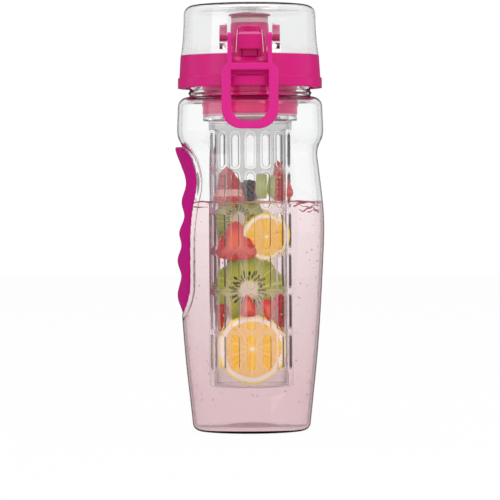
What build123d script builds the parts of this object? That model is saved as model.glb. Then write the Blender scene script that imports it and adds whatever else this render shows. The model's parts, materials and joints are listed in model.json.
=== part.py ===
from build123d import *
import math
import os

os.makedirs("parts", exist_ok=True)

# Fruit infuser water bottle. Millimetres, +Z up, standing on Z = 0 about the Z axis.
# The front, with the latch and the loop, faces -Y, and the finger grip is on the -X side.

# Sizes shared by several pieces
overrun = 1.0  # how far a cutting shape runs past the face it cuts
part_gap = 0.3  # between pieces that move past each other
running_gap = 0.08  # between a pin and the bore that turns on it

# Bottle body. Its radii follow from the belly's, and its heights from the belly's height.
belly_radius = 44.8
belly_height = 122.0
body_wall = 2.2
base_inset = 8.8  # base inside the belly
base_corner = 5.0
punt_inset = 12.0
punt_depth = 3.0
waist_inset = 4.0
waist_rise = 47.0  # waist above the belly
shoulder_inset = 0.3
shoulder_rise = 15.0
shoulder_edge_inset = 0.5
shoulder_corner = 6.0
neck_base_rise = 19.2  # foot of the neck above the shoulder
neck_inset = 7.7
neck_wall = 2.4
neck_length = 18.8
bead_rise = 1.2
bead_height = 2.4
bead_proud = 0.8

base_radius = belly_radius - base_inset
punt_radius = base_radius - punt_inset
waist_radius = belly_radius - waist_inset
waist_height = belly_height + waist_rise
shoulder_radius = belly_radius - shoulder_inset
shoulder_height = waist_height + shoulder_rise
shoulder_edge_radius = shoulder_radius - shoulder_edge_inset
neck_base_height = shoulder_height + neck_base_rise
neck_radius = shoulder_radius - neck_inset
neck_bore = neck_radius - neck_wall
rim_height = neck_base_height + neck_length
bead_bottom = neck_base_height + bead_rise

# Shares of the climb and of the change of radius between two named stations of the side
lower_side_shares = [(0.32, 0.45), (0.67, 0.79), (0.86, 0.93)]
upper_side_shares = [(0.34, 0.15), (0.65, 0.55), (0.88, 0.88)]
waist_side_shares = [(0.37, 0.35), (0.60, 0.78)]
foot_lean_share = 0.1  # outward lean of the side at its foot
dome_share = 0.5  # of a dome's radius, where its middle point is set out

# Finger grip and its recess in the body's left side
grip_drop = 51.0  # foot of the grip below the belly
grip_height = 102.0
grip_top_radius = 27.0  # half-width of the pad at its upper end
grip_bottom_radius = 22.0
grip_lip_proud = 1.0  # of the belly
grip_groove_depth = 6.6  # deepest finger groove below the lip
grip_floor_inset = 3.8  # highest part of the recess's floor, inside the belly
grip_floor_drop = 4.6  # its deepest part below that
grip_edge_depth = 3.0  # of the recess along the pad's edge
grip_edge_proud = 0.5  # of the pad's edge past the body's side
grip_crown_inset = 29.8  # axis that the pad's proud end is turned about, inside the lip
grip_side_gap = 0.3
glue_gap = 0.1  # glue line between the pad and the recess's floor
recess_reach = 5.2  # past the belly, where the recess's cutting shape ends

grip_bottom = belly_height - grip_drop
grip_top = grip_bottom + grip_height
grip_lip_radius = belly_radius + grip_lip_proud
grip_groove_radius = grip_lip_radius - grip_groove_depth
grip_floor_high = belly_radius - grip_floor_inset
grip_floor_low = grip_floor_high - grip_floor_drop
grip_crown_axis = grip_lip_radius - grip_crown_inset
recess_outer_plane = belly_radius + recess_reach

# Shares of the pad's height and of the range from its deepest groove to its lip
grip_face_shares = [
    (0.00, 0.36), (0.06, 0.66), (0.135, 0.83), (0.237, 0.48), (0.32, 0.83), (0.417, 0.44),
    (0.485, 0.64), (0.583, 0.14), (0.667, 0.39), (0.763, 0.00), (0.859, 0.26), (0.93, 0.71),
    (1.00, 1.00),
]
# Shares of the pad's height and of the range from the recess's deepest floor to its highest
grip_floor_shares = [
    (0.00, 0.91), (0.135, 1.00), (0.32, 0.98), (0.50, 0.65), (0.667, 0.26), (0.765, 0.00),
    (0.853, 0.22), (0.93, 0.70), (1.00, 0.91),
]

# Lid base, set on the bottle's rim
gasket_thickness = 1.6
deck_thickness = 2.4
lid_rim_height = 2.1  # wall above the deck
lid_skirt_length = 13.3  # below the bottle's rim
lid_flange_inset = 0.6  # inside the shoulder
lid_flange_height = 6.6
lid_flange_chamfer = 0.9
lid_wall_lean = 0.8
lid_wall = 2.2
lid_thread_room = 2.4  # between the neck and the skirt
seam_gap = 0.3  # between the lid's wall and the cover's foot

deck_bottom = rim_height + gasket_thickness
deck_top = deck_bottom + deck_thickness
lid_top = deck_top + lid_rim_height
cover_foot = lid_top + seam_gap
lid_bottom = rim_height - lid_skirt_length
lid_flange_radius = shoulder_radius - lid_flange_inset
lid_flange_top = lid_bottom + lid_flange_height
lid_wall_foot_radius = lid_flange_radius - lid_flange_chamfer
lid_wall_top_radius = lid_wall_foot_radius - lid_wall_lean
lid_wall_inside = lid_wall_top_radius - lid_wall
lid_skirt_bore = neck_radius + lid_thread_room

# Collar under the deck, which the infuser pushes into
collar_room = 5.5  # between the collar and the bottle's bore
collar_wall = 2.5
collar_length = 29.2  # below the bottle's rim
collar_rib_height = 1.6
collar_rib_proud = 0.6
collar_rib_pitch = 4.6
collar_rib_count = 3
collar_rib_rise = 4.8

collar_radius = neck_bore - collar_room
collar_bore = collar_radius - collar_wall
collar_bottom = rim_height - collar_length
collar_first_rib = collar_bottom + collar_rib_rise

# Drinking spout on the lid's deck
spout_to_guide = 4.6  # between the spout's foot and the button's guide
spout_radius = 11.5
spout_foot_flare = 0.9
spout_wall = 2.5
spout_height = 21.8
spout_lip_round = 0.8

spout_foot_radius = spout_radius + spout_foot_flare
spout_bore = spout_radius - spout_wall
spout_top = deck_top + spout_height

# Latch notch and ridge in the front of the lid's wall
notch_half_width = 9.8
notch_depth = 4.6
notch_drop = 4.4  # its lower edge below the deck's top
ridge_half_width = 8.4
ridge_height = 2.6
ridge_proud = 1.7

notch_bottom = deck_top - notch_drop

# Spout seal, and the stud under the cover's crown that it is pressed on
seal_lip_height = 3.1
seal_lip_wall = 1.6
seal_disc_height = 3.7
seal_edge_height = 0.8
seal_overhang = 1.5  # of the disc past its lip
stud_back = 2.2  # of the crown above the seal
stud_radius = 4.0
stud_depth = 2.4  # into the seal
stud_gap = 0.1

seal_lip_outer = spout_radius - part_gap
seal_lip_inner = seal_lip_outer - seal_lip_wall
seal_radius = seal_lip_outer + seal_overhang
seal_disc_bottom = spout_top + seal_lip_height
seal_disc_top = seal_disc_bottom + seal_disc_height

# Flip cover
cover_wall = 2.2
cover_foot_inset = 0.2  # inside the top of the lid's wall
cover_mid_inset = 1.3
cover_mid_rise = 10.8
cover_head_inset = 0.6
cover_corner = 5.5
arch_foot_half_width = 8.2
arch_head_half_width = 7.0
arch_rise = 16.1
arch_round = 3.5
arch_rim_width = 1.8
arch_rim_proud = 0.5
arch_rim_inside = 1.2

cover_top = seal_disc_top + stud_back + cover_wall
cover_foot_radius = lid_wall_top_radius - cover_foot_inset
cover_mid_radius = cover_foot_radius - cover_mid_inset
cover_head_radius = cover_mid_radius - cover_head_inset
arch_top = cover_foot + arch_rise

# Lock loop, and the ears of the cover that it hangs in
loop_room = 0.5  # between the loop and the bottle's shoulder
loop_thickness = 3.8
loop_pin_radius = 1.5
pivot_forward_of_back = 0.4
pivot_rise = 8.4  # above the cover's foot
ear_radius = 3.4
ear_width = 4.5
ear_root_rise = 8.2  # top of the ear's root above the pivot
ear_root_drop = 6.2
strut_window_half_width = 10.7
strut_width = 2.6
strut_side_gap = 0.2  # between the loop's eye and the ear
loop_half_width = 17.0
loop_window_half_width = 11.2
loop_length = 54.0
loop_foot_height = 4.7
loop_corner = 12.0
loop_window_corner = 9.0
crossbar_height = 4.2
loop_step_height = 3.7
loop_edge_round = 0.9

loop_back = shoulder_radius + loop_room
pivot_forward = loop_back + pivot_forward_of_back
pivot_height = cover_foot + pivot_rise
strut_half_width = strut_window_half_width + strut_width
ear_inner = strut_half_width + strut_side_gap
loop_bottom = pivot_height - loop_length
crossbar_top = notch_bottom + part_gap
crossbar_bottom = crossbar_top - crossbar_height

# Hinge at the rear
hinge_barrel_radius = 3.0
hinge_pin_radius = 1.25
hinge_room = 1.9  # between the hinge axis and the lid's flange
hinge_drop = 1.3  # hinge axis below the top of the lid's wall
knuckle_inner = 4.4
knuckle_width = 5.8
knuckle_seat_angle = 60  # where the knuckle's slope meets its barrel
knuckle_root_rise = 6.1
lug_gap = 0.3
lug_width = 4.5
lug_root_drop = 7.3
pin_head = 0.4

hinge_back = lid_flange_radius + hinge_room
hinge_height = lid_top - hinge_drop
lug_inner = knuckle_inner + knuckle_width + lug_gap
lug_outer = lug_inner + lug_width

# Torsion spring round the hinge pin
hinge_coil_room = 0.55  # between the pin and the wire
hinge_wire_radius = 0.4
hinge_coil_pitch = 1.3
hinge_coil_turns = 5
hinge_leg_up = 5.0
hinge_leg_down = 4.0

hinge_coil_radius = hinge_pin_radius + hinge_coil_room + hinge_wire_radius

# Release button, its guide and its spring
button_half_width = 7.2
button_rise = 2.2  # above the cover's foot
button_height = 10.2
button_inset = 0.6  # inside the cover's foot
button_thickness = 2.0
button_corner = 2.2
slide_half_width = 4.5
slide_length = 11.4
slide_height = 5.6
slide_gap = 0.3
guide_setback = 4.4  # front of the guide behind the button's face
guide_wall = 1.8
guide_roof = 1.4
button_coil_radius = 1.5
button_wire_radius = 0.3
button_coil_turns = 3
button_coil_pitch = 1.2

button_bottom = cover_foot + button_rise
button_top = button_bottom + button_height
button_face_radius = cover_foot_radius - button_inset
slide_bottom = deck_top + slide_gap
slide_top = slide_bottom + slide_height
slide_rear = button_face_radius - slide_length
guide_front = button_face_radius - guide_setback
spring_space = button_coil_turns * button_coil_pitch + 2 * button_wire_radius
guide_rear = slide_rear - spring_space - guide_wall
spout_forward = guide_rear - spout_to_guide - spout_foot_radius  # its axis ahead of the bottle's

# Infuser basket, whose flange hangs under the collar
basket_clear_of_base = 27.0
basket_wall = 1.6
basket_floor = 1.8
basket_corner = 2.0
basket_flange_inset = 0.2  # inside the collar
basket_flange_reach = 3.4
basket_flange_height = 2.9
basket_neck_gap = 0.2
basket_neck_height = 8.6
slot_columns = 16
slot_rows = 6
slot_width = 4.6
slot_web = 3.2
slot_top_drop = 7.0  # below the flange
slot_foot_rise = 10.7  # above the basket's bottom
infuser_gasket_height = 1.4
infuser_gasket_width = 2.0
infuser_gasket_inset = 0.2

basket_flange_radius = collar_radius - basket_flange_inset
basket_radius = basket_flange_radius - basket_flange_reach
basket_bore = basket_radius - basket_wall
basket_neck_radius = collar_bore - basket_neck_gap
basket_flange_top = collar_bottom - infuser_gasket_height
basket_flange_bottom = basket_flange_top - basket_flange_height
basket_neck_top = basket_flange_top + basket_neck_height
slot_top = basket_flange_bottom - slot_top_drop
slot_foot = basket_clear_of_base + slot_foot_rise
slot_pitch = (slot_top - slot_foot + slot_web) / slot_rows
slot_height = slot_pitch - slot_web
infuser_gasket_outer = basket_flange_radius - infuser_gasket_inset
infuser_gasket_inner = infuser_gasket_outer - infuser_gasket_width


def at(radius, height):
    """Point of an outline in the XZ plane."""
    return Vector(radius, 0, height)


def turned(*edges):
    """Solid of revolution about the bottle's axis from a closed outline."""
    return revolve(make_face(list(edges)), axis=Axis.Z)


def tube(inner, outer, bottom, top):
    """Upright ring about the bottle's axis."""
    corners = [at(inner, bottom), at(outer, bottom), at(outer, top), at(inner, top)]
    return turned(Polyline(*corners, close=True))


def round_arc(centre, radius, start, end):
    """Arc of an outline about a centre, between two angles in degrees."""
    middle = (start + end) / 2
    points = []
    for angle in (start, middle, end):
        turn = math.radians(angle)
        points.append(centre + at(radius * math.cos(turn), radius * math.sin(turn)))
    return ThreePointArc(*points)


def front_rectangle(half_width, bottom, top):
    """Rectangle across the axis in the XZ plane, between two heights."""
    low = [(half_width, 0, bottom), (-half_width, 0, bottom)]
    high = [(-half_width, 0, top), (half_width, 0, top)]
    return make_face(Polyline(*low, *high, close=True))


def block(x_range, y_range, z_range):
    """Box between two values on each axis."""
    size = [high - low for low, high in (x_range, y_range, z_range)]
    centre = [(high + low) / 2 for low, high in (x_range, y_range, z_range)]
    return Pos(*centre) * Box(*size)


def side_points(inset, shares, low, high):
    """Points between two stations, each a (radius, height) pair, moved in by inset."""
    points = []
    for climb, change in shares:
        radius = low[0] + change * (high[0] - low[0])
        height = low[1] + climb * (high[1] - low[1])
        points.append(at(radius - inset, height))
    return points


def side_curve(inset):
    """The body's side from its foot to its shoulder, moved in by inset."""
    base = (base_radius, base_corner)
    belly = (belly_radius, belly_height)
    waist = (waist_radius, waist_height)
    shoulder = (shoulder_radius, shoulder_height)
    side = [at(base_radius - inset, base_corner)]
    side += side_points(inset, lower_side_shares, base, belly)
    side += [at(belly_radius - inset, belly_height)]
    side += side_points(inset, upper_side_shares, belly, waist)
    side += [at(waist_radius - inset, waist_height)]
    side += side_points(inset, waist_side_shares, waist, shoulder)
    side += [at(shoulder_radius - inset, shoulder_height)]
    return Spline(side, tangents=[(foot_lean_share, 0, 1), (0, 0, 1)])


def body_solid(inset, neck, top):
    """Solid inside the bottle's skin, moved in by inset, with its neck up to the height top."""
    side = side_curve(inset)
    base_centre = at(base_radius - base_corner, base_corner)
    edge_centre = at(shoulder_edge_radius - shoulder_corner, neck_base_height - shoulder_corner)
    base_arc = round_arc(base_centre, base_corner - inset, -90, 0)
    edge_arc = round_arc(edge_centre, shoulder_corner - inset, 0, 90)
    punt = dome(punt_depth + inset, inset, punt_radius)
    return turned(
        punt,
        Line(punt @ 1, base_arc @ 0),
        base_arc,
        side,
        Line(side @ 1, edge_arc @ 0),
        edge_arc,
        Polyline(edge_arc @ 1, at(neck, (edge_arc @ 1).Z), at(neck, top), at(0, top)),
        Line(at(0, top), punt @ 0),
    )


def dome(centre, edge, radius):
    """Domed line of an outline from its height on the axis to its height at the radius."""
    middle = centre + (edge - centre) * dome_share**2
    return ThreePointArc(at(0, centre), at(dome_share * radius, middle), at(radius, edge))


def grip_planform(widen):
    """Outline of the finger grip seen from the side: two round ends joined by tangents."""
    upper = grip_top_radius + widen
    lower = grip_bottom_radius + widen
    upper_height = grip_top - grip_top_radius
    lower_height = grip_bottom + grip_bottom_radius
    lean = math.asin((lower - upper) / (upper_height - lower_height))
    points = []
    for side in (-1, 1):
        for radius, height in ((upper, upper_height), (lower, lower_height)):
            across = side * radius * math.cos(lean)
            points.append(Vector(0, across, height + radius * math.sin(lean)))
    crown = Vector(0, 0, upper_height + upper)
    foot = Vector(0, 0, lower_height - lower)
    outline = make_face([
        Line(points[1], points[0]),
        ThreePointArc(points[0], crown, points[2]),
        Line(points[2], points[3]),
        ThreePointArc(points[3], foot, points[1]),
    ])
    return extrude(outline, recess_outer_plane, dir=(-1, 0, 0))


def grip_curve(shares, low, high):
    """Outline along the grip's height from shares of its height and of a range of reaches."""
    points = []
    for climb, reach in shares:
        points.append(at(low + reach * (high - low), grip_bottom + climb * grip_height))
    curve = Spline(points)
    foot = at((curve @ 0).X, base_corner)
    head = at((curve @ 1).X, shoulder_height)
    return [Line(foot, curve @ 0), curve, Line(curve @ 1, head)]


def side_core(inset):
    """Solid of revolution inside the body's side, moved in by inset."""
    side = side_curve(inset)
    foot = at(0, base_corner)
    head = at(0, shoulder_height)
    return turned(Line(foot, side @ 0), side, Polyline(side @ 1, head, foot))


def behind_curve(edges):
    """Prism across the bottle from its middle out to the curve of a grip outline."""
    foot = at(0, base_corner)
    head = at(0, shoulder_height)
    outline = make_face([*edges, Polyline(edges[-1] @ 1, head, foot, edges[0] @ 0)])
    return mirror(extrude(outline, grip_floor_high, dir=(0, 1, 0), both=True), about=Plane.YZ)


def grip_floor(inset):
    """Solid whose skin is the floor that the grip lies on, moved in by inset."""
    low = grip_floor_low - inset
    high = grip_floor_high - inset
    prism = behind_curve(grip_curve(grip_floor_shares, low, high))
    return side_core(grip_edge_depth + inset) & prism


def grip_recess(inset):
    """Space of the recess that takes the grip, with its floor and sides moved in by inset."""
    return grip_planform(grip_side_gap + inset) - grip_floor(inset)


def make_bottle_body():
    shell = body_solid(0, neck_radius, rim_height) - grip_recess(0)
    space = body_solid(body_wall, neck_bore, rim_height + overrun)
    space -= grip_recess(body_wall)
    bead_top = bead_bottom + bead_height
    bead = turned(
        ThreePointArc(
            at(neck_radius, bead_bottom),
            at(neck_radius + bead_proud, bead_bottom + bead_height / 2),
            at(neck_radius, bead_top),
        ),
        Polyline(
            at(neck_radius, bead_top),
            at(neck_radius - neck_wall / 2, bead_top),
            at(neck_radius - neck_wall / 2, bead_bottom),
            at(neck_radius, bead_bottom),
        ),
    )
    return shell - space + bead


def make_finger_grip():
    face = grip_curve(grip_face_shares, grip_groove_radius, grip_lip_radius)
    grooved = side_core(-grip_edge_proud) & behind_curve(face)
    axis_foot = at(grip_crown_axis, base_corner)
    axis_head = at(grip_crown_axis, shoulder_height)
    rim = Polyline(face[-1] @ 1, axis_head, axis_foot, face[0] @ 0)
    crown = revolve(make_face([*face, rim]), axis=Axis(axis_foot, (0, 0, 1)))
    crown = mirror(crown, about=Plane.YZ)
    pad = (grooved + crown) & grip_planform(0)
    return pad - grip_floor(-glue_gap)


def lid_shell():
    """Skirt, flange, wall and deck of the lid as one revolved piece, with its collar."""
    shell = turned(
        Polyline(
            at(0, deck_bottom),
            at(lid_skirt_bore, deck_bottom),
            at(lid_skirt_bore, lid_bottom),
            at(lid_flange_radius, lid_bottom),
            at(lid_flange_radius, lid_flange_top - lid_flange_chamfer),
            at(lid_wall_foot_radius, lid_flange_top),
            at(lid_wall_top_radius, lid_top),
            at(lid_wall_inside, lid_top),
            at(lid_wall_inside, deck_top),
            at(0, deck_top),
            close=True,
        )
    )
    shell += tube(collar_bore, collar_radius, collar_bottom, deck_bottom)
    for rib in range(collar_rib_count):
        low = collar_first_rib + rib * collar_rib_pitch
        rib_radius = collar_radius + collar_rib_proud
        shell += tube(collar_bore, rib_radius, low, low + collar_rib_height)
    return shell


def spout():
    """Drinking spout, turned about its own axis and then set forward."""
    lip_centre = at(spout_radius - spout_lip_round, spout_top - spout_lip_round)
    lip = round_arc(lip_centre, spout_lip_round, 0, 90)
    horn = turned(
        lip,
        Polyline(
            lip @ 1,
            at(spout_bore, spout_top),
            at(spout_bore, deck_bottom),
            at(spout_foot_radius, deck_bottom),
            at(spout_foot_radius, deck_top),
            lip @ 0,
        ),
    )
    return Pos(0, -spout_forward, 0) * horn


def spout_passage():
    """Bore through the deck under the spout."""
    hole = tube(0, spout_bore, deck_bottom - overrun, deck_top + overrun)
    return Pos(0, -spout_forward, 0) * hole


def latch_notch():
    """Sloped notch in the front wall, wider at its top."""
    front = -lid_wall_foot_radius - overrun
    rear = front + overrun + notch_depth
    top = lid_top + overrun
    outline = make_face(
        Polyline(
            (0, front, notch_bottom),
            (0, rear, deck_top),
            (0, rear, top),
            (0, front, top),
            close=True,
        )
    )
    return extrude(outline, notch_half_width, dir=(1, 0, 0), both=True)


def latch_ridge():
    """Ridge under the notch, behind which the loop's crossbar is held."""
    reach = lid_wall_foot_radius + ridge_proud
    low = notch_bottom - ridge_height
    outline = make_face(
        Polyline(
            (0, -lid_wall_inside, low),
            (0, -lid_wall_foot_radius, low),
            (0, -reach, low + ridge_height / 2),
            (0, -reach, notch_bottom - ridge_height / 4),
            (0, -lid_wall_foot_radius, notch_bottom),
            (0, -lid_wall_inside, notch_bottom),
            close=True,
        )
    )
    return extrude(outline, ridge_half_width, dir=(1, 0, 0), both=True)


def button_guide():
    """Channel on the deck that the button's slide runs in, closed behind its spring."""
    inner = slide_half_width + slide_gap
    outer = inner + guide_wall
    roof_bottom = slide_top + slide_gap
    roof_top = roof_bottom + guide_roof
    guide = block((-outer, outer), (-guide_front, -guide_rear), (deck_top, roof_top))
    channel = block(
        (-inner, inner), (-guide_front - overrun, -guide_rear - guide_wall), (deck_top, roof_bottom)
    )
    return guide - channel


def barrel(start, width, radius):
    """Round bar along X on the hinge axis."""
    bar = Cylinder(radius, width, rotation=(0, 90, 0))
    return Pos(start + width / 2, hinge_back, hinge_height) * bar


def hinge_lugs():
    """Two lugs behind the lid, which hold the hinge pin."""
    wall = lid_wall_inside
    root = Polyline(
        (lug_inner, wall, lid_top - lug_root_drop - hinge_barrel_radius),
        (lug_inner, hinge_back, hinge_height - hinge_barrel_radius),
        (lug_inner, hinge_back, lid_top),
        (lug_inner, wall, lid_top),
        close=True,
    )
    lug = extrude(make_face(root), lug_width, dir=(1, 0, 0))
    lug += barrel(lug_inner, lug_width, hinge_barrel_radius)
    return lug + mirror(lug, about=Plane.YZ)


def make_lid_base():
    lid = lid_shell() + hinge_lugs()
    lid -= tube(0, lid_wall_inside, deck_top, lid_top + hinge_barrel_radius)
    lid += spout() + latch_ridge()
    lid -= latch_notch() + spout_passage()
    lid += button_guide()
    return lid - barrel(-lug_outer - overrun, 2 * (lug_outer + overrun), hinge_pin_radius)


def make_neck_gasket():
    return tube(neck_bore, neck_radius, rim_height, deck_bottom)


def cover_solid(inset):
    """Solid inside the cover's skin, moved in by inset and open to its foot."""
    side = ThreePointArc(
        at(cover_foot_radius - inset, cover_foot),
        at(cover_mid_radius - inset, cover_foot + cover_mid_rise),
        at(cover_head_radius - inset, cover_top - cover_corner),
    )
    centre = at(cover_head_radius - cover_corner, cover_top - cover_corner)
    corner = round_arc(centre, cover_corner - inset, 0, 90)
    return turned(
        Line(at(0, cover_foot), side @ 0),
        side,
        corner,
        Polyline(corner @ 1, at(0, (corner @ 1).Z), at(0, cover_foot)),
    )


def arch_prism(widen):
    """Arched cut-out in the cover's front, grown by widen, as a prism along -Y."""
    top = arch_top + widen
    foot = arch_foot_half_width + widen
    head = arch_head_half_width + widen
    low = cover_foot - overrun
    corners = [(-foot, 0, low), (-head, 0, top), (head, 0, top), (foot, 0, low)]
    outline = make_face(Polyline(*corners, close=True))
    outline = fillet(outline.vertices().group_by(Axis.Z)[-1], arch_round + widen)
    return extrude(outline, cover_foot_radius + overrun, dir=(0, -1, 0))


def cover_ears():
    """Pair of ears on the cover's front for the loop's pins."""
    wall = cover_mid_radius - cover_wall
    root_low = pivot_height - ear_root_drop
    root_high = pivot_height + ear_root_rise
    root = Polyline(
        (ear_inner, 0, root_low),
        (ear_inner, -wall, root_low),
        (ear_inner, -pivot_forward, pivot_height - ear_radius),
        (ear_inner, -pivot_forward, pivot_height + ear_radius),
        (ear_inner, -wall, root_high),
        (ear_inner, 0, root_high),
        close=True,
    )
    ear = extrude(make_face(root), ear_width, dir=(1, 0, 0))
    ear += loop_pivot(ear_inner, ear_width, ear_radius)
    return ear + mirror(ear, about=Plane.YZ)


def loop_pivot(start, width, radius):
    """Round bar along X on the axis that the loop swings about."""
    bar = Cylinder(radius, width, rotation=(0, 90, 0))
    return Pos(start + width / 2, -pivot_forward, pivot_height) * bar


def seal_stud(clearance):
    """Round stud under the cover's crown, with a clearance all round it."""
    low = seal_disc_top - stud_depth - clearance
    stud = tube(0, stud_radius + clearance, low, cover_top - cover_wall / 2)
    return Pos(0, -spout_forward, 0) * stud


def cover_knuckles():
    """Pair of knuckles behind the cover, which turn on the hinge pin."""
    seat = math.radians(knuckle_seat_angle)
    seat_back = hinge_back + hinge_barrel_radius * math.cos(seat)
    seat_height = hinge_height + hinge_barrel_radius * math.sin(seat)
    root_top = cover_foot + knuckle_root_rise
    root = Polyline(
        (knuckle_inner, 0, cover_foot),
        (knuckle_inner, hinge_back, cover_foot),
        (knuckle_inner, seat_back, seat_height),
        (knuckle_inner, cover_mid_radius - cover_wall, root_top),
        (knuckle_inner, 0, root_top),
        close=True,
    )
    knuckle = extrude(make_face(root), knuckle_width, dir=(1, 0, 0))
    knuckle += barrel(knuckle_inner, knuckle_width, hinge_barrel_radius)
    return knuckle + mirror(knuckle, about=Plane.YZ)


def make_flip_cover():
    inside = cover_solid(cover_wall)
    rim = arch_prism(arch_rim_width) & (
        cover_solid(-arch_rim_proud) - cover_solid(cover_wall + arch_rim_inside)
    )
    cover = cover_solid(0) + cover_ears() + cover_knuckles() - inside
    cover += rim + seal_stud(0)
    cover -= arch_prism(0)
    cover -= barrel(-lug_outer, 2 * lug_outer, hinge_pin_radius + running_gap)
    ear_reach = ear_inner + ear_width + overrun
    return cover - loop_pivot(-ear_reach, 2 * ear_reach, loop_pin_radius)


def make_spout_seal():
    edge_low = (seal_disc_bottom + seal_disc_top - seal_edge_height) / 2
    edge_high = edge_low + seal_edge_height
    low = dome(seal_disc_bottom, edge_low, seal_radius)
    high = dome(seal_disc_top, edge_high, seal_radius)
    disc = turned(low, Line(low @ 1, high @ 1), high, Line(high @ 0, low @ 0))
    lip = tube(seal_lip_inner, seal_lip_outer, spout_top, edge_low)
    return Pos(0, -spout_forward, 0) * (disc + lip) - seal_stud(stud_gap)


def make_cover_hinge_pin():
    length = 2 * (lug_outer + pin_head)
    return barrel(-length / 2, length, hinge_pin_radius)


def make_loop_pins():
    start = strut_window_half_width + part_gap
    pin = loop_pivot(start, ear_inner + ear_width - start, loop_pin_radius)
    return pin + mirror(pin, about=Plane.YZ)


def loop_outline():
    """Face of the lock loop seen from the front, with both of its windows cut out."""
    top = pivot_height + ear_radius
    step_low = crossbar_top - loop_step_height
    corners = [
        (-loop_half_width, 0, loop_bottom),
        (-loop_half_width, 0, step_low),
        (-strut_half_width, 0, crossbar_top),
        (-strut_half_width, 0, top),
        (strut_half_width, 0, top),
        (strut_half_width, 0, crossbar_top),
        (loop_half_width, 0, step_low),
        (loop_half_width, 0, loop_bottom),
    ]
    outer = make_face(Polyline(*corners, close=True))
    outer = fillet(outer.vertices().group_by(Axis.Z)[0], loop_corner)
    window = front_rectangle(loop_window_half_width, loop_bottom + loop_foot_height, crossbar_bottom)
    window = fillet(window.vertices().group_by(Axis.Z)[0], loop_window_corner)
    gap = front_rectangle(strut_window_half_width, crossbar_top, top + overrun)
    return outer - window - gap


def make_lock_loop():
    plate = Pos(0, -loop_back, 0) * extrude(loop_outline(), loop_thickness, dir=(0, -1, 0))
    front = plate.faces().sort_by(Axis.Y)[0]
    plate = fillet(front.edges().filter_by(lambda edge: edge.center().Z < pivot_height), loop_edge_round)
    reach = pivot_forward + ear_radius
    top = pivot_height + ear_radius + overrun
    plate -= block((-loop_half_width, loop_half_width), (-reach, 0), (pivot_height, top))
    eye = loop_pivot(strut_window_half_width, strut_half_width - strut_window_half_width, ear_radius)
    plate += eye + mirror(eye, about=Plane.YZ)
    return plate - loop_pivot(-ear_inner, 2 * ear_inner, loop_pin_radius + running_gap)


def slide_block(reach, low, high):
    """Length of the button's slide between two heights, out to the radius reach."""
    bar = block((-slide_half_width, slide_half_width), (-reach, -slide_rear), (low, high))
    return bar & tube(0, reach, low, high)


def make_release_button():
    outline = front_rectangle(button_half_width, button_bottom, button_top)
    outline = fillet(outline.vertices().group_by(Axis.Z)[-1], button_corner)
    plate = extrude(outline, button_face_radius + overrun, dir=(0, -1, 0))
    plate &= tube(button_face_radius - button_thickness, button_face_radius, button_bottom, button_top)
    plate_middle = button_face_radius - button_thickness / 2
    slide = slide_block(guide_front, slide_bottom, button_bottom)
    slide += slide_block(plate_middle, button_bottom, slide_top)
    return plate + slide


def biarc(start, start_way, end, end_way):
    """Two arcs that leave start along start_way and reach end along end_way."""
    chord = end - start
    both = start_way + end_way
    spread = 2 * (1 - start_way.dot(end_way))
    along = chord.dot(both)
    reach = (math.sqrt(along**2 + spread * chord.dot(chord)) - along) / spread
    joint = (start + end + (start_way - end_way) * reach) / 2
    joint_way = (end - end_way * reach) - (start + start_way * reach)
    return [
        TangentArc(start, joint, tangent=start_way),
        TangentArc(joint, end, tangent=joint_way.normalized()),
    ]


def coil_points(radius, pitch, quarters):
    """Points and headings of a coil about Z, a quarter turn apart, level at both ends."""
    points = []
    ways = []
    for quarter in range(quarters + 1):
        turn = math.radians(90) * quarter
        points.append(Vector(radius * math.cos(turn), radius * math.sin(turn), pitch * quarter / 4))
        rise = 0 if quarter in (0, quarters) else pitch / (2 * math.pi)
        heading = Vector(-radius * math.sin(turn), radius * math.cos(turn), rise)
        ways.append(heading.normalized())
    return points, ways


def coil_spring(radius, pitch, turns, wire, lead, tail, name):
    """Round wire wound about Z, with straight ends of the lengths lead and tail."""
    points, ways = coil_points(radius, pitch, 4 * turns)
    steps = [(points[i + 4] - points[i]).length for i in range(len(points) - 4)]
    print(f"{name}: least gap {min(steps) - 2 * wire:.2f} mm, coil radius {radius:.2f} mm")
    path = [Line(points[0] - ways[0] * lead, points[0])]
    for i in range(len(points) - 1):
        path += biarc(points[i], ways[i], points[i + 1], ways[i + 1])
    path.append(Line(points[-1], points[-1] + ways[-1] * tail))
    section = Plane(origin=path[0] @ 0, z_dir=ways[0]) * Circle(wire)
    return sweep(section, path=Wire(path))


def make_cover_spring():
    spring = coil_spring(
        hinge_coil_radius, hinge_coil_pitch, hinge_coil_turns, hinge_wire_radius,
        hinge_leg_up, hinge_leg_down, "cover spring",
    )
    start = -hinge_coil_pitch * hinge_coil_turns / 2
    seat = Plane(origin=(start, hinge_back, hinge_height), x_dir=(0, -1, 0), z_dir=(1, 0, 0))
    return seat.location * spring


def make_button_spring():
    end = 2 * button_wire_radius
    spring = coil_spring(
        button_coil_radius, button_coil_pitch, button_coil_turns, button_wire_radius, end, end,
        "button spring",
    )
    front = -slide_rear + button_wire_radius
    return Pos(0, front, slide_bottom + slide_height / 2) * Rot(-90, 0, 0) * spring


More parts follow.
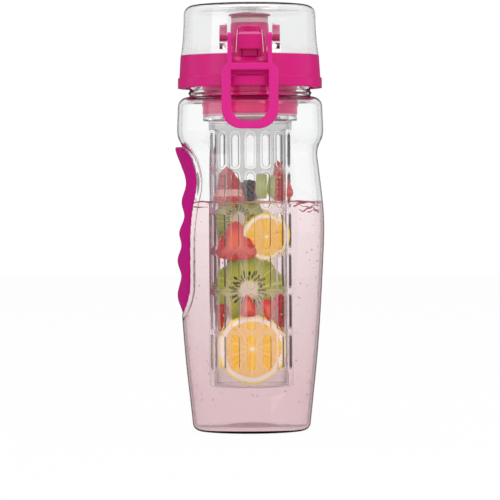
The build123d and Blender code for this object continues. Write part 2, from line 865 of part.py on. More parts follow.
def make_infuser_basket():
    corner_centre = at(basket_radius - basket_corner, basket_clear_of_base + basket_corner)
    corner = round_arc(corner_centre, basket_corner, -90, 0)
    shell = turned(
        Line(at(0, basket_clear_of_base), corner @ 0),
        corner,
        Polyline(
            corner @ 1,
            at(basket_radius, basket_flange_bottom),
            at(basket_flange_radius, basket_flange_bottom),
            at(basket_flange_radius, basket_flange_top),
            at(basket_neck_radius, basket_flange_top),
            at(basket_neck_radius, basket_neck_top),
            at(basket_bore, basket_neck_top),
            at(basket_bore, basket_clear_of_base + basket_floor),
            at(0, basket_clear_of_base + basket_floor),
            at(0, basket_clear_of_base),
        ),
    )
    reach = basket_radius + overrun
    depth = reach - (basket_bore - overrun)
    slot = SlotOverall(slot_height, slot_width, rotation=90)
    cutter = extrude(Plane.XZ.offset(basket_bore - overrun) * slot, depth)
    cutters = []
    for row in range(slot_rows):
        height = slot_top - slot_height / 2 - row * slot_pitch
        for column in range(slot_columns):
            turn = Rot(0, 0, column * 360 / slot_columns)
            cutters.append(turn * Pos(0, 0, height) * cutter)
    return shell - cutters


def make_infuser_gasket():
    return tube(infuser_gasket_inner, infuser_gasket_outer, basket_flange_top, collar_bottom)


pieces = {
    "bottle_body": make_bottle_body,
    "finger_grip": make_finger_grip,
    "neck_gasket": make_neck_gasket,
    "lid_base": make_lid_base,
    "flip_cover": make_flip_cover,
    "spout_seal": make_spout_seal,
    "cover_hinge_pin": make_cover_hinge_pin,
    "cover_spring": make_cover_spring,
    "release_button": make_release_button,
    "button_spring": make_button_spring,
    "lock_loop": make_lock_loop,
    "loop_pins": make_loop_pins,
    "infuser_basket": make_infuser_basket,
    "infuser_gasket": make_infuser_gasket,
}

for name, make in pieces.items():
    export_step(make(), f"parts/{name}.step")
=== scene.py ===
import json
import math

import bmesh
import bpy
import numpy as np
from mathutils import Euler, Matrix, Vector


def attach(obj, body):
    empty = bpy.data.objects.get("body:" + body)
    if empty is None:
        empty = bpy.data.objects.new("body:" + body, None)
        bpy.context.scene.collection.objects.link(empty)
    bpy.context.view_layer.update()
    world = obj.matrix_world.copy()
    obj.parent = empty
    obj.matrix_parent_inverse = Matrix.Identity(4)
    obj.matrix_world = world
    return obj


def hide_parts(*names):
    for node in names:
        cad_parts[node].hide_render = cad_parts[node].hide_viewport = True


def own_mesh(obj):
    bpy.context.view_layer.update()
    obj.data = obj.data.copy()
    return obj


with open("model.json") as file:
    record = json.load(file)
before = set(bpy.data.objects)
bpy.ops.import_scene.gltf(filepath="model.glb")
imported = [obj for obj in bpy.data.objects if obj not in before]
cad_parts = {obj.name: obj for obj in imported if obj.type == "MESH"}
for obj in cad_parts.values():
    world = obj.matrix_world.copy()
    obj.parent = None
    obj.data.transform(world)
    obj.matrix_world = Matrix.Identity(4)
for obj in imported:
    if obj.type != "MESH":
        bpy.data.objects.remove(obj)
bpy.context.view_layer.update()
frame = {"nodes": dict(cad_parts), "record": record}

# Fruit infuser water bottle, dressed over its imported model.
# Settings of the pieces are in millimetres. Shader inputs, the camera, lamps and set use metres.
# The front, with the latch, faces -Y.

mm = 0.001
scene = bpy.context.scene
bodyOfNode = {n: b for b, names in frame["record"]["behaviour"]["bodies"].items() for n in names}


def gridFaces(rows, columns, wrapRows=False, wrapColumns=False):
    # one quad from each grid point to the next row and column, round again where wrapped
    i = np.arange(rows if wrapRows else rows - 1)
    j = np.arange(columns if wrapColumns else columns - 1)
    a, b = np.meshgrid(i, j, indexing="ij")
    c, d = (a + 1) % rows, (b + 1) % columns
    corners = [a * columns + b, c * columns + b, c * columns + d, a * columns + d]
    return np.stack(corners, axis=-1).reshape(-1, 4)


def repeatFaces(faces, count, points):
    # the same faces for each of a number of equal sets of points
    steps = (np.arange(count) * points)[:, None, None]
    return (faces[None] + steps).reshape(-1, 4)


def weld(mesh, gap=0.002, turnOut=True):
    # joins doubled points, at seams and poles too, and turns a closed shell to face outwards
    work = bmesh.new()
    work.from_mesh(mesh)
    bmesh.ops.remove_doubles(work, verts=work.verts, dist=gap * mm)
    if turnOut:
        bmesh.ops.dissolve_degenerate(work, dist=gap * mm / 10, edges=work.edges)
        if work.calc_volume(signed=True) < 0:
            bmesh.ops.reverse_faces(work, faces=work.faces)
    work.to_mesh(mesh)
    work.free()


def addPiece(name, mesh, body, sharp):
    # smooth-shaded piece that rides on a body
    mesh.shade_smooth()
    mesh.set_sharp_from_angle(angle=math.radians(sharp))
    piece = bpy.data.objects.new(name, mesh)
    scene.collection.objects.link(piece)
    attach(piece, body)
    return piece


def newPiece(name, parts, body, sharp=38, welded=True):
    # parts: (points, faces, material) arrays, and a uv array where there is one, joined as one mesh
    points, faces, slots, uvs, materials, start = [], [], [], [], [], 0
    for partPoints, partFaces, material, *uv in parts:
        partPoints = np.asarray(partPoints, float).reshape(-1, 3)
        if material not in materials:
            materials.append(material)
        points.append(partPoints)
        faces.append(partFaces + start)
        slots.append(np.full(len(partFaces), materials.index(material)))
        flat = np.asarray(uv[0]).reshape(-1, 2) if uv else np.zeros((len(partPoints), 2))
        uvs.append(flat[partFaces.ravel()])
        start += len(partPoints)
    mesh = bpy.data.meshes.new(name)
    mesh.from_pydata((np.concatenate(points) * mm).tolist(), [], np.concatenate(faces).tolist())
    mesh.uv_layers.new(name="own").data.foreach_set("uv", np.concatenate(uvs).ravel())
    mesh.polygons.foreach_set("material_index", np.concatenate(slots))
    for material in materials:
        mesh.materials.append(material)
    if welded:
        weld(mesh)
    return addPiece(name, mesh, body, sharp)


def smoothNode(node, material, slot, sharp=32):
    # welded, smooth-shaded copy of a CAD node's mesh that stands for the node
    mesh = frame["nodes"][node].data.copy()
    mesh.name = node + "_smooth"
    weld(mesh, 0.0005, False)
    if mesh.has_custom_normals:
        mesh.attributes.remove(mesh.attributes["custom_normal"])
    mesh.materials.clear()
    mesh.materials.append(material)
    piece = addPiece(mesh.name, mesh, bodyOfNode[node], sharp)
    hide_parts(node)


def cubicLine(x, y, slopeLow, slopeHigh):
    # cubic spline through stations with a slope given at each end, as a function of x
    x, y = np.asarray(x, float), np.asarray(y, float)
    n, h = len(x), np.diff(x)
    a, b = np.zeros((n, n)), np.zeros(n)
    a[0, :2], b[0] = (2 * h[0], h[0]), 6 * ((y[1] - y[0]) / h[0] - slopeLow)
    a[-1, -2:], b[-1] = (h[-1], 2 * h[-1]), 6 * (slopeHigh - (y[-1] - y[-2]) / h[-1])
    for k in range(1, n - 1):
        a[k, k - 1:k + 2] = (h[k - 1], 2 * (h[k - 1] + h[k]), h[k])
        b[k] = 6 * ((y[k + 1] - y[k]) / h[k] - (y[k] - y[k - 1]) / h[k - 1])
    m = np.linalg.solve(a, b)

    def value(q):
        k = np.clip(np.searchsorted(x, q) - 1, 0, n - 2)
        t, s = q - x[k], x[k + 1] - q
        curve = (m[k] * s**3 + m[k + 1] * t**3) / (6 * h[k])
        return curve + (y[k] / h[k] - m[k] * h[k] / 6) * s + (y[k + 1] / h[k] - m[k + 1] * h[k] / 6) * t

    return value


def pointsOf(*axes):
    # points from the arrays of their coordinates
    return np.stack(np.broadcast_arrays(*axes), -1)


def aroundAxis(radius, angle, height):
    # points at a radius, an angle and a height about the Z axis
    return pointsOf(radius * np.cos(angle), radius * np.sin(angle), height)


def arcPoints(centre, radius, start, end, count):
    # points of a circle's arc in the profile plane between two angles in degrees
    a = np.radians(np.linspace(start, end, count))
    return pointsOf(centre[0] + radius * np.cos(a), centre[1] + radius * np.sin(a))


def tubeAlong(path, radius, sides=10, closed=False):
    # round tube: at each path point a circle square to the path, with closed ends
    path = np.asarray(path, float)
    ahead = np.roll(path, -1, 0) - np.roll(path, 1, 0) if closed else np.gradient(path, axis=0)
    ahead /= np.linalg.norm(ahead, axis=1, keepdims=True)
    side = np.cross(ahead, np.array([0.13, 0.21, 0.97]))  # a direction that no path here runs along
    side /= np.linalg.norm(side, axis=1, keepdims=True)
    up = np.cross(side, ahead)
    a = np.linspace(0, 2 * math.pi, sides, endpoint=False)
    size = np.broadcast_to(radius, (len(path),))
    if not closed:
        path = np.concatenate([path[:1], path, path[-1:]])
        side, up = (np.concatenate([v[:1], v, v[-1:]]) for v in (side, up))
        size = np.concatenate([[0], size, [0]])
    ring = side[:, None] * np.cos(a)[:, None] + up[:, None] * np.sin(a)[:, None]
    return path[:, None] + ring * size[:, None, None], gridFaces(len(path), sides, closed, True)


def smoothMin(a, b, width):
    # the lower of two values, rounded where they cross
    h = np.clip(0.5 + 0.5 * (b - a) / width, 0, 1)
    return b + (a - b) * h - width * h * (1 - h)


def feed(node, inputs):
    # sets a node's inputs, or links those that are given another node's output
    for label, value in inputs.items():
        socket = node.inputs[label]
        if hasattr(value, "is_output"):
            node.id_data.links.new(value, socket)
        elif socket.type == "RGBA":
            socket.default_value = (*value, 1)
        else:
            socket.default_value = value


def addNode(beside, kind, inputs={}, **settings):
    # a new node in the node tree that another node, a socket or the tree itself gives
    node = beside.id_data.nodes.new("ShaderNode" + kind)
    for name, value in settings.items():
        setattr(node, name, value)
    feed(node, inputs)
    return node


def newMaterial(name):
    material = bpy.data.materials.new(name)
    material.use_nodes = True
    return material, material.node_tree.nodes["Principled BSDF"]


def nodeGroup(name, inputs, outputs):
    # shader group with named sockets, each label with its kind
    group = bpy.data.node_groups.new(name, "ShaderNodeTree")
    for way, sockets in (("INPUT", inputs), ("OUTPUT", outputs)):
        for label, kind in sockets.items():
            group.interface.new_socket(label, in_out=way, socket_type="NodeSocket" + kind)
    return group, group.nodes.new("NodeGroupInput").outputs, group.nodes.new("NodeGroupOutput")


def mathNode(operation, *values):
    beside = next(value for value in values if hasattr(value, "is_output"))
    return addNode(beside, "Math", dict(enumerate(values)), operation=operation).outputs[0]


def times(first, second):
    return mathNode("MULTIPLY", first, second)


def minus(first, second):
    return mathNode("SUBTRACT", first, second)


def mixColour(share, first, second):
    return addNode(share, "Mix", {"Factor": share, 6: first, 7: second}, data_type="RGBA").outputs[2]


def mixShaders(share, first, second):
    # the material's surface: one shader, and another by its share
    mix = addNode(first, "MixShader", {0: share, 1: first.outputs[0], 2: second.outputs[0]})
    feed(first.id_data.nodes["Material Output"], {"Surface": mix.outputs[0]})


def stepOf(value, low, high):
    # smooth step from 0 at low to 1 at high
    inputs = {"Value": value, "From Min": low, "From Max": high}
    return addNode(value, "MapRange", inputs, interpolation_type="SMOOTHSTEP").outputs[0]


def fadeColour(value, low, high, first, second):
    # from the first colour to the second as the value goes from low to high
    return mixColour(stepOf(value, low, high), first, second)


def band(value, low, high, soft=0.3):
    # one between two places in millimetres, zero outside them, with soft ends
    up, down = (stepOf(value, (end - soft) * mm, (end + soft) * mm) for end in (low, high))
    return minus(up, down)


def objectPlace(beside):
    return addNode(beside, "TexCoord").outputs["Object"]


def placeAxes(beside):
    # a point's X, Y and Z
    return addNode(beside, "SeparateXYZ", {0: objectPlace(beside)}).outputs


def noiseOf(place, scale, detail=2):
    return addNode(place, "TexNoise", {"Vector": place, "Scale": scale, "Detail": detail}).outputs["Fac"]


def bumpOf(height, strength, distance, **base):
    # a normal bent by a height in the surface, with its distance in millimetres
    inputs = {"Height": height, "Strength": strength, "Distance": distance * mm, **base}
    return addNode(height, "Bump", inputs).outputs["Normal"]


def overBase(material, share, colour):
    # mixes a share of a colour into the material's base colour
    shader = material.node_tree.nodes["Principled BSDF"]
    base = shader.inputs["Base Color"]
    now = base.links[0].from_socket if base.links else base.default_value[:3]
    feed(shader, {"Base Color": mixColour(share, now, colour)})


def shadeWhere(material, colour, share, **ranges):
    # shades the base colour inside a box, given as ranges in millimetres of X, Y, Z or of Across,
    # which is the distance from the middle plane
    axes = placeAxes(material.node_tree)
    for axis, (low, high) in ranges.items():
        value = mathNode("ABSOLUTE", axes["X"]) if axis == "Across" else axes[axis]
        share = times(band(value, low, high), share)
    overBase(material, share, colour)


def mouldedGroup():
    # moulded surface: cloudy tint, uneven gloss and a fine skin texture from three noises
    measures = ("cloudScale", "cloudAmount", "roughness", "spread", "grainScale", "grainHeight")
    group, given, out = nodeGroup(
        "mouldedSurface", {"colour": "Color", "shade": "Color", **dict.fromkeys(measures, "Float")},
        {"colour": "Color", "roughness": "Float", "normal": "Vector"})
    place = objectPlace(group)
    cloud = noiseOf(place, given["cloudScale"])
    uneven = noiseOf(place, given["cloudScale"], 4)
    grain = noiseOf(place, given["grainScale"], 3)
    tint = times(cloud, given["cloudAmount"])
    edge = addNode(group, "Bevel", {"Radius": 0.9 * mm})  # edges shaded as if rounded
    feed(out, {
        "colour": mixColour(tint, given["colour"], given["shade"]),
        "roughness": mathNode("MULTIPLY_ADD", uneven, given["spread"], given["roughness"]),
        "normal": bumpOf(grain, given["grainHeight"], 0.2, Normal=edge.outputs["Normal"])})
    return group


moulded = mouldedGroup()


def mouldedMaterial(name, look):
    # opaque moulded plastic, rubber or silicone from the shared moulded surface
    material, shader = newMaterial(name)
    inputs = {key: value for key, value in look.items() if key != "shader"}
    surface = addNode(shader, "Group", inputs, node_tree=moulded).outputs
    feed(shader, {"Base Color": surface["colour"], "Roughness": surface["roughness"],
                  "Normal": surface["normal"], **look["shader"]})
    return material


def clearMaterial(name, look):
    # clear plastic: a refracting shader for what is seen, and a see-through one for shadows
    material, shader = newMaterial(name)
    flow = noiseOf(objectPlace(shader), look["flowScale"], 1)  # faint flow marks of the moulding
    feed(shader, {
        "Base Color": look["tint"], "Transmission Weight": look["clear"], "IOR": look["ior"],
        "Roughness": mathNode("MULTIPLY_ADD", flow, look["spread"], look["roughness"]),
        "Normal": bumpOf(flow, look["flowHeight"], 0.5)})
    through = addNode(shader, "BsdfTransparent", {"Color": look["shadowTint"]})
    path = addNode(shader, "LightPath").outputs
    unseen = mathNode("MAXIMUM", path["Is Shadow Ray"], path["Is Diffuse Ray"])
    mixShaders(unseen, shader, through)
    return material


# colours and strength of the painted shade drawn along clear edges seen aslant
bottleEdgeShade = {"low": 0.72, "high": 0.90, "amount": 0.95, "dry": (0.30, 0.30, 0.305),
              "wet": (0.14, 0.016, 0.04), "foot": (0.02, 0.001, 0.005)}
basketEdgeShade = {"low": 0.40, "high": 0.85, "amount": 0.85, "dry": (0.16, 0.16, 0.165),
              "wet": (0.22, 0.15, 0.16), "foot": (0.22, 0.15, 0.16)}
edgePlaces = {"recessX": (-60, -27), "recessZ": (70, 174), "footFade": (55, 85), "levelFade": (136, 140)}


def paintedEdgeShade(material, look):
    # painted shade: a darker edge painted where clear plastic is seen aslant, in place of the dark rim
    # that refraction gives: one colour over the drink's level, one under it and one at the foot, and
    # none in the recess behind the finger grip
    slant = addNode(material.node_tree, "LayerWeight", {"Blend": 0.5}).outputs["Facing"]
    edge = times(stepOf(slant, look["low"], look["high"]), look["amount"])
    axes = placeAxes(slant)
    x, z = axes["X"], axes["Z"]
    recessed = times(band(x, *edgePlaces["recessX"]), band(z, *edgePlaces["recessZ"]))
    edge = times(edge, minus(1, recessed))
    colour = look["foot"]
    for fade, above in (("footFade", "wet"), ("levelFade", "dry")):
        low, high = edgePlaces[fade]
        colour = fadeColour(z, low * mm, high * mm, colour, look[above])
    overBase(material, edge, colour)


pinkLook = {
    "colour": (0.70, 0.008, 0.215), "shade": (0.56, 0.004, 0.125), "cloudScale": 14.0, "cloudAmount": 0.35,
    "roughness": 0.25, "spread": 0.08, "grainScale": 1500.0, "grainHeight": 0.05,
    "shader": {"Specular IOR Level": 0.24, "Subsurface Weight": 0.06, "Subsurface Scale": 0.002},
}
rubberLook = {
    "colour": (0.55, 0.003, 0.215), "shade": (0.39, 0.002, 0.15), "cloudScale": 20.0, "cloudAmount": 0.35,
    "roughness": 0.4, "spread": 0.12, "grainScale": 2600.0, "grainHeight": 0.12,
    "shader": {"Specular IOR Level": 0.08},
}
sealLook = {
    "colour": (0.42, 0.11, 0.17), "shade": (0.32, 0.07, 0.12), "cloudScale": 30.0, "cloudAmount": 0.3,
    "roughness": 0.35, "spread": 0.1, "grainScale": 1800.0, "grainHeight": 0.06,
    "shader": {"Subsurface Weight": 0.1, "Subsurface Scale": 0.002},
}
gasketLook = {
    **sealLook, "colour": (0.78, 0.74, 0.74), "shade": (0.66, 0.6, 0.6),
    "shader": {"Subsurface Weight": 0.2, "Subsurface Scale": 0.002},
}
steelLook = {
    "colour": (0.55, 0.55, 0.56), "shade": (0.35, 0.35, 0.36), "cloudScale": 200.0, "cloudAmount": 0.4,
    "roughness": 0.24, "spread": 0.12, "grainScale": 3000.0, "grainHeight": 0.05, "shader": {"Metallic": 1.0},
}
bottleLook = {
    "tint": (0.976, 0.979, 0.979), "ior": 1.45, "clear": 1.0, "flowScale": 18.0, "flowHeight": 0.05,
    "roughness": 0.0, "spread": 0.012, "shadowTint": (0.96, 0.96, 0.96),
}
coverLook = {
    **bottleLook, "tint": (0.922, 0.926, 0.925), "ior": 1.47, "flowScale": 30.0, "flowHeight": 0.04,
    "shadowTint": (0.95, 0.95, 0.95),
}
basketLook = {
    **bottleLook, "tint": (0.96, 0.955, 0.95), "ior": 1.13, "clear": 0.94, "flowScale": 40.0,
    "flowHeight": 0.04, "spread": 0.015, "shadowTint": (0.97, 0.97, 0.97),
}

pinkPlastic = mouldedMaterial("pinkPlastic", pinkLook)
gripRubber = mouldedMaterial("gripRubber", rubberLook)
sealSilicone = mouldedMaterial("sealSilicone", sealLook)
gasketSilicone = mouldedMaterial("gasketSilicone", gasketLook)
springSteel = mouldedMaterial("springSteel", steelLook)
bottlePlastic = clearMaterial("bottlePlastic", bottleLook)
paintedEdgeShade(bottlePlastic, bottleEdgeShade)
recessPlastic = clearMaterial("recessPlastic", {**bottleLook, "ior": 1.12})
coverPlastic = clearMaterial("coverPlastic", coverLook)
basketPlastic = clearMaterial("basketPlastic", basketLook)
# painted shade: a near-black clear tint, put on one long wall of each slot to draw a dark line there
slotShade = clearMaterial("slotShade", {**basketLook, "tint": (0.07, 0.07, 0.075)})
# the basket's head rows get a greyer tint, and their back half a darker one as painted shade, over the
# material's own colour
shadeWhere(basketPlastic, (0.92, 0.922, 0.92), 1.0, Z=(139, 189))
shadeWhere(basketPlastic, (0.70, 0.702, 0.70), 1.0, Y=(4, 30), Z=(139, 189))
paintedEdgeShade(basketPlastic, basketEdgeShade)
basketLowPlastic = clearMaterial("basketLowPlastic", {**basketLook, "clear": 0.84})
paintedEdgeShade(basketLowPlastic, basketEdgeShade)
gripBack = mouldedMaterial("gripBack", {
    **rubberLook, "colour": (0.80, 0.34, 0.55), "shade": (0.70, 0.25, 0.45)})
pinkGasket = mouldedMaterial("pinkGasket", {
    **gasketLook, "colour": (0.72, 0.34, 0.44), "shade": (0.6, 0.22, 0.33)})
buttonPlastic = mouldedMaterial("buttonPlastic", pinkLook)
collarPlastic = mouldedMaterial("collarPlastic", pinkLook)
# painted light: the collar's colour is raised over the plastic's own, most in its upper band, to make up for
# the shade it lies in
shadeWhere(collarPlastic, (0.84, 0.008, 0.21), 1.0, Z=(150, 198))
shadeWhere(collarPlastic, (1.0, 0.01, 0.26), 1.0, Z=(198, 207.5))
# painted shade: faint dark rings round the collar, in place of the shade between its ridges
for low, high in ((193.4, 194.0), (196.6, 197.4), (199.4, 199.9), (202.2, 202.9), (205.0, 205.6)):
    shadeWhere(collarPlastic, (0.45, 0.0, 0.06), 0.4, Z=(low, high))
# painted light in the middle, where the loop shades the collar, and painted shade at its sides
shadeWhere(collarPlastic, (1.0, 0.004, 0.20), 0.8, Across=(-1, 14), Z=(150, 207.5))
shadeWhere(collarPlastic, (0.62, 0.002, 0.15), 0.6, Across=(17, 40), Z=(150, 207.5))
loopPlastic = mouldedMaterial("loopPlastic", {
    **pinkLook, "colour": (0.74, 0.018, 0.27), "shade": (0.62, 0.01, 0.19)})
# painted highlight: the button's top band is paler
shadeWhere(buttonPlastic, (0.78, 0.20, 0.42), 0.8, Z=(239.4, 250))
shadeWhere(sealSilicone, (0.72, 0.52, 0.50), 0.9, Z=(240, 250.6))
# painted refraction: the clear cover's ears are tinted pink, in place of the pink pins seen through them
shadeWhere(coverPlastic, (0.62, 0.26, 0.38), 0.75, Across=(13.4, 18.4), Y=(-60, -37.2), Z=(236.5, 246))
print("materials made")


bottle = {
    "wall": 2.2, "baseCorner": 5.0, "baseRadius": 36.0, "puntRadius": 24.0, "puntDepth": 3.0,
    "side": [(5.0, 36.0), (42.44, 39.96), (83.39, 42.952), (105.62, 44.184), (122.0, 44.8),
             (137.98, 44.2), (152.55, 42.6), (163.36, 41.28), (169.0, 40.8), (174.55, 42.095),
             (178.0, 43.686), (184.0, 44.5)],
    "footLean": 0.1, "edgeRadius": 44.0, "edgeCorner": 6.0, "neckBase": 203.2, "neckRadius": 36.8,
    "neckBore": 34.4, "rim": 222.0, "beadHeight": 205.6, "coarseAngles": 108,
}
recess = {"top": 173.0, "bottom": 71.0, "topRadius": 27.0, "bottomRadius": 22.0, "gap": 0.15, "depth": 1.0,
          "wallWidth": 2.0, "floorLow": 36.4, "floorHigh": 41.0, "blend": 0.8, "near": 8.0, "rim": 1.5,
          "halfAngle": 0.85, "fineAngles": 120}
floorShares = [(0, 0.91), (0.135, 1), (0.32, 0.98), (0.5, 0.65), (0.667, 0.26), (0.765, 0), (0.853, 0.22),
               (0.93, 0.7), (1, 0.91)]
faceShares = [(0, 0.36), (0.06, 0.66), (0.135, 0.83), (0.237, 0.48), (0.32, 0.83), (0.417, 0.44),
              (0.485, 0.64), (0.583, 0.14), (0.667, 0.39), (0.763, 0), (0.859, 0.26), (0.93, 0.71), (1, 1)]
gripHeight = recess["top"] - recess["bottom"]


def waveLine(shares, low, high):
    # smooth waves up the grip, from shares of its height and of the reach between low and high
    up, out = np.array(shares).T
    return cubicLine(recess["bottom"] + up * gripHeight, low + out * (high - low), 0, 0)


sideRadius = cubicLine(*zip(*bottle["side"]), bottle["footLean"], 0)
floorReach = waveLine(floorShares, recess["floorLow"], recess["floorHigh"])


def planformDistance(y, z):
    # distance outside the grip's outline, two circles joined by tangents, in the YZ plane
    r1, r2 = recess["bottomRadius"], recess["topRadius"]
    low, high = recess["bottom"] + r1, recess["top"] - r2
    h = high - low
    b = (r1 - r2) / h
    a = math.sqrt(1 - b * b)
    across, climb = np.abs(y), z - low
    k = -b * across + a * climb
    lowEnd = np.hypot(across, climb) - r1
    highEnd = np.hypot(across, climb - h) - r2
    side = a * across + b * climb - r1
    return np.where(k < 0, lowEnd, np.where(k > a * h, highEnd, side))


def dented(radius, angle, z, wall):
    # the bottle's radius with the grip's recess pressed in: inside its outline the side steps
    # down to the lower of a parallel surface and the floor's curve, both moved in by the wall
    out = planformDistance(radius * np.sin(angle), z) - recess["gap"] - wall
    t = np.clip(-out / recess["wallWidth"], 0, 1)
    low, high = recess["bottom"], recess["top"]
    height = np.clip(z, low, high)
    ahead = np.maximum(-np.cos(angle), 0.3)
    floor = (floorReach(height) - wall) / ahead + wall
    core = smoothMin(sideRadius(height) - recess["depth"], floor, recess["blend"])
    near = (np.cos(angle) < 0) & (z > low - recess["near"]) & (z < high + recess["near"])
    return np.where(near, radius + (core - wall - radius) * t * t * (3 - 2 * t), radius)


def bottleAngles():
    # angles round the bottle, closer together across the recess at 180 degrees
    half = recess["halfAngle"]
    fine = np.linspace(math.pi - half, math.pi + half, recess["fineAngles"])
    coarse = np.linspace(math.pi + half, 3 * math.pi - half, bottle["coarseAngles"])[1:-1]
    return np.concatenate([fine, coarse])


def bottleHeights(top, gap=0):
    # rows up the side to a top, closer together over the recess
    low = bottle["baseCorner"]
    rows = np.concatenate([np.arange(5, 60, 3.0), np.arange(60, 184, 1.3)])
    return np.concatenate([[low], rows[(rows > low + 0.1) & (rows < top - gap)], [top]])


def sideProfile(inset):
    # rows of the side, then the shoulder's rounded edge, moved in by inset
    heights = bottleHeights(bottle["side"][-1][0])
    side = pointsOf(sideRadius(heights) - inset, heights)
    corner, edge = bottle["edgeCorner"], bottle["edgeRadius"]
    arc = arcPoints((edge - corner, bottle["neckBase"] - corner), corner - inset, 0, 90, 9)
    return np.concatenate([side, arc])


def baseProfile(inset):
    # domed base, standing ring and rounded corner, from the axis outwards
    r = np.linspace(0, bottle["puntRadius"], 14)
    dome = pointsOf(r, bottle["puntDepth"] * (1 - (r / bottle["puntRadius"])**2) + inset)
    c = bottle["baseCorner"]
    arc = arcPoints((bottle["baseRadius"] - c, c), c - inset, -90, 0, 8)
    return np.concatenate([dome, arc[:-1]])


def makeBottle():
    # closed shell: from the base up the outside to the rim, and down the inside by the wall's thickness
    wall, rim, bead = bottle["wall"], bottle["rim"], bottle["beadHeight"]
    neck, bore, base = bottle["neckRadius"], bottle["neckBore"], bottle["neckBase"]
    outer = np.concatenate([baseProfile(0), sideProfile(0), [
        (neck + 0.9, base), (neck + 0.25, base + 0.2), (neck, base + 0.9), (neck + 0.35, bead - 0.75),
        (neck + 0.8, bead), (neck + 0.35, bead + 0.75), (neck, bead + 1.3), (neck, rim - 0.7),
        (neck - 0.2, rim - 0.2), (neck - 0.7, rim)]])
    inner = np.concatenate([baseProfile(wall), sideProfile(wall), [
        (bore + 0.8, base - wall), (bore + 0.2, base - wall + 0.2), (bore, base - wall + 0.8),
        (bore, rim - 0.6), (bore + 0.2, rim - 0.15), (bore + 0.6, rim)]])[::-1]
    a = bottleAngles()[:, None]
    r = [dented(skin[:, 0], a, skin[:, 1], inset) for skin, inset in ((outer, 0), (inner, wall))]
    r = np.concatenate(r, 1)
    z = np.concatenate([outer, inner])[:, 1]
    points, faces = aroundAxis(r, a, z), gridFaces(len(a), len(z), True, True)
    behind = planformDistance(r * np.sin(a), z) < recess["rim"]
    behind = (behind & (np.cos(a) < 0)).ravel()
    parts = [(points, faces[~behind], bottlePlastic), (points, faces[behind], recessPlastic)]
    piece = newPiece("bottle_shell", parts, "bottle")
    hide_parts("bottle_body")


thread = {"start": 208.6, "pitch": 5.2, "turn": 3 * math.pi, "fade": 0.5, "rows": 150,
          "section": [(-1.4, -0.15), (-0.5, 1.05), (0.5, 1.05), (1.4, -0.15), (0, -0.4)]}


def makeThread():
    # thread on the neck: a ridge that climbs one and a half turns and fades at its ends
    a = np.linspace(0, thread["turn"], thread["rows"])[:, None]
    fade = np.clip(np.minimum(a, thread["turn"] - a) / thread["fade"], 0, 1)
    along, out = np.array(thread["section"]).T
    z = thread["start"] + thread["pitch"] * a / (2 * math.pi) + along
    points = aroundAxis(bottle["neckRadius"] + out * fade, a, z)
    parts = [(points, gridFaces(len(a), len(out), False, True), bottlePlastic)]
    newPiece("neck_thread", parts, "bottle", welded=False)


grip = {"lip": 45.8, "groove": 39.2, "proud": 0.35, "crownAxis": 16.0, "glue": 0.1, "edgeRound": 1.2,
        "blend": 0.7, "rows": 190, "columns": 72, "endGap": 0.02, "leastPad": 0.05}
gripFace = waveLine(faceShares, grip["groove"], grip["lip"])


def makeGrip():
    # soft pad: each row crosses the outline. Its front is the farther of the bottle's side cut off
    # by the finger waves and of the waves turned about an upright axis, with a rounded edge.
    t = (1 - np.cos(np.linspace(0, math.pi, grip["rows"]))) / 2
    z = (recess["bottom"] + grip["endGap"] + t * (gripHeight - 2 * grip["endGap"]))[:, None]
    r1, r2 = recess["bottomRadius"], recess["topRadius"]
    low, high = recess["bottom"] + r1, recess["top"] - r2
    lean = (r2 - r1) / (high - low)
    straight = (r1 + (z - low) * lean) / math.sqrt(1 - lean**2)
    lowEnd = np.sqrt(np.clip(r1**2 - (z - low)**2, 0, None))
    highEnd = np.sqrt(np.clip(r2**2 - (z - high)**2, 0, None))
    half = np.where(z < low - r1 * lean, lowEnd, np.where(z > high - r2 * lean, highEnd, straight))
    y = half * np.sin(np.linspace(-math.pi / 2, math.pi / 2, grip["columns"]))[None]
    side, face = sideRadius(z), gripFace(z)
    grooved = smoothMin(np.sqrt((side + grip["proud"])**2 - y**2), face, grip["blend"])
    crown = grip["crownAxis"] + np.sqrt(np.clip((face - grip["crownAxis"])**2 - y**2, 0, None))
    front = -smoothMin(-grooved, -crown, grip["blend"])
    inside = np.clip(-planformDistance(y, z), 0, grip["edgeRound"])
    drop = grip["edgeRound"] - np.sqrt(grip["edgeRound"]**2 - (grip["edgeRound"] - inside)**2)
    back = np.minimum(np.sqrt((side - recess["depth"])**2 - y**2), floorReach(z)) + grip["glue"]
    front = np.maximum(front - drop, back + grip["leastPad"])
    x = -np.concatenate([front, back[:, ::-1]], 1)
    points = pointsOf(x, np.concatenate([y, y[:, ::-1]], 1), z)
    ends = [np.broadcast_to(points[k].mean(0), points[k].shape) for k in (0, -1)]
    points = np.concatenate([ends[0][None], points, ends[1][None]])
    faces = gridFaces(len(points), points.shape[1], False, True)
    column = np.arange(points.shape[1])
    inner = np.tile((column >= grip["columns"]) & (column < 2 * grip["columns"] - 1), len(points) - 1)
    parts = [(points, faces[~inner], gripRubber), (points, faces[inner], gripBack)]
    piece = newPiece("finger_grip_pad", parts, "bottle", sharp=50)
    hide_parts("finger_grip")


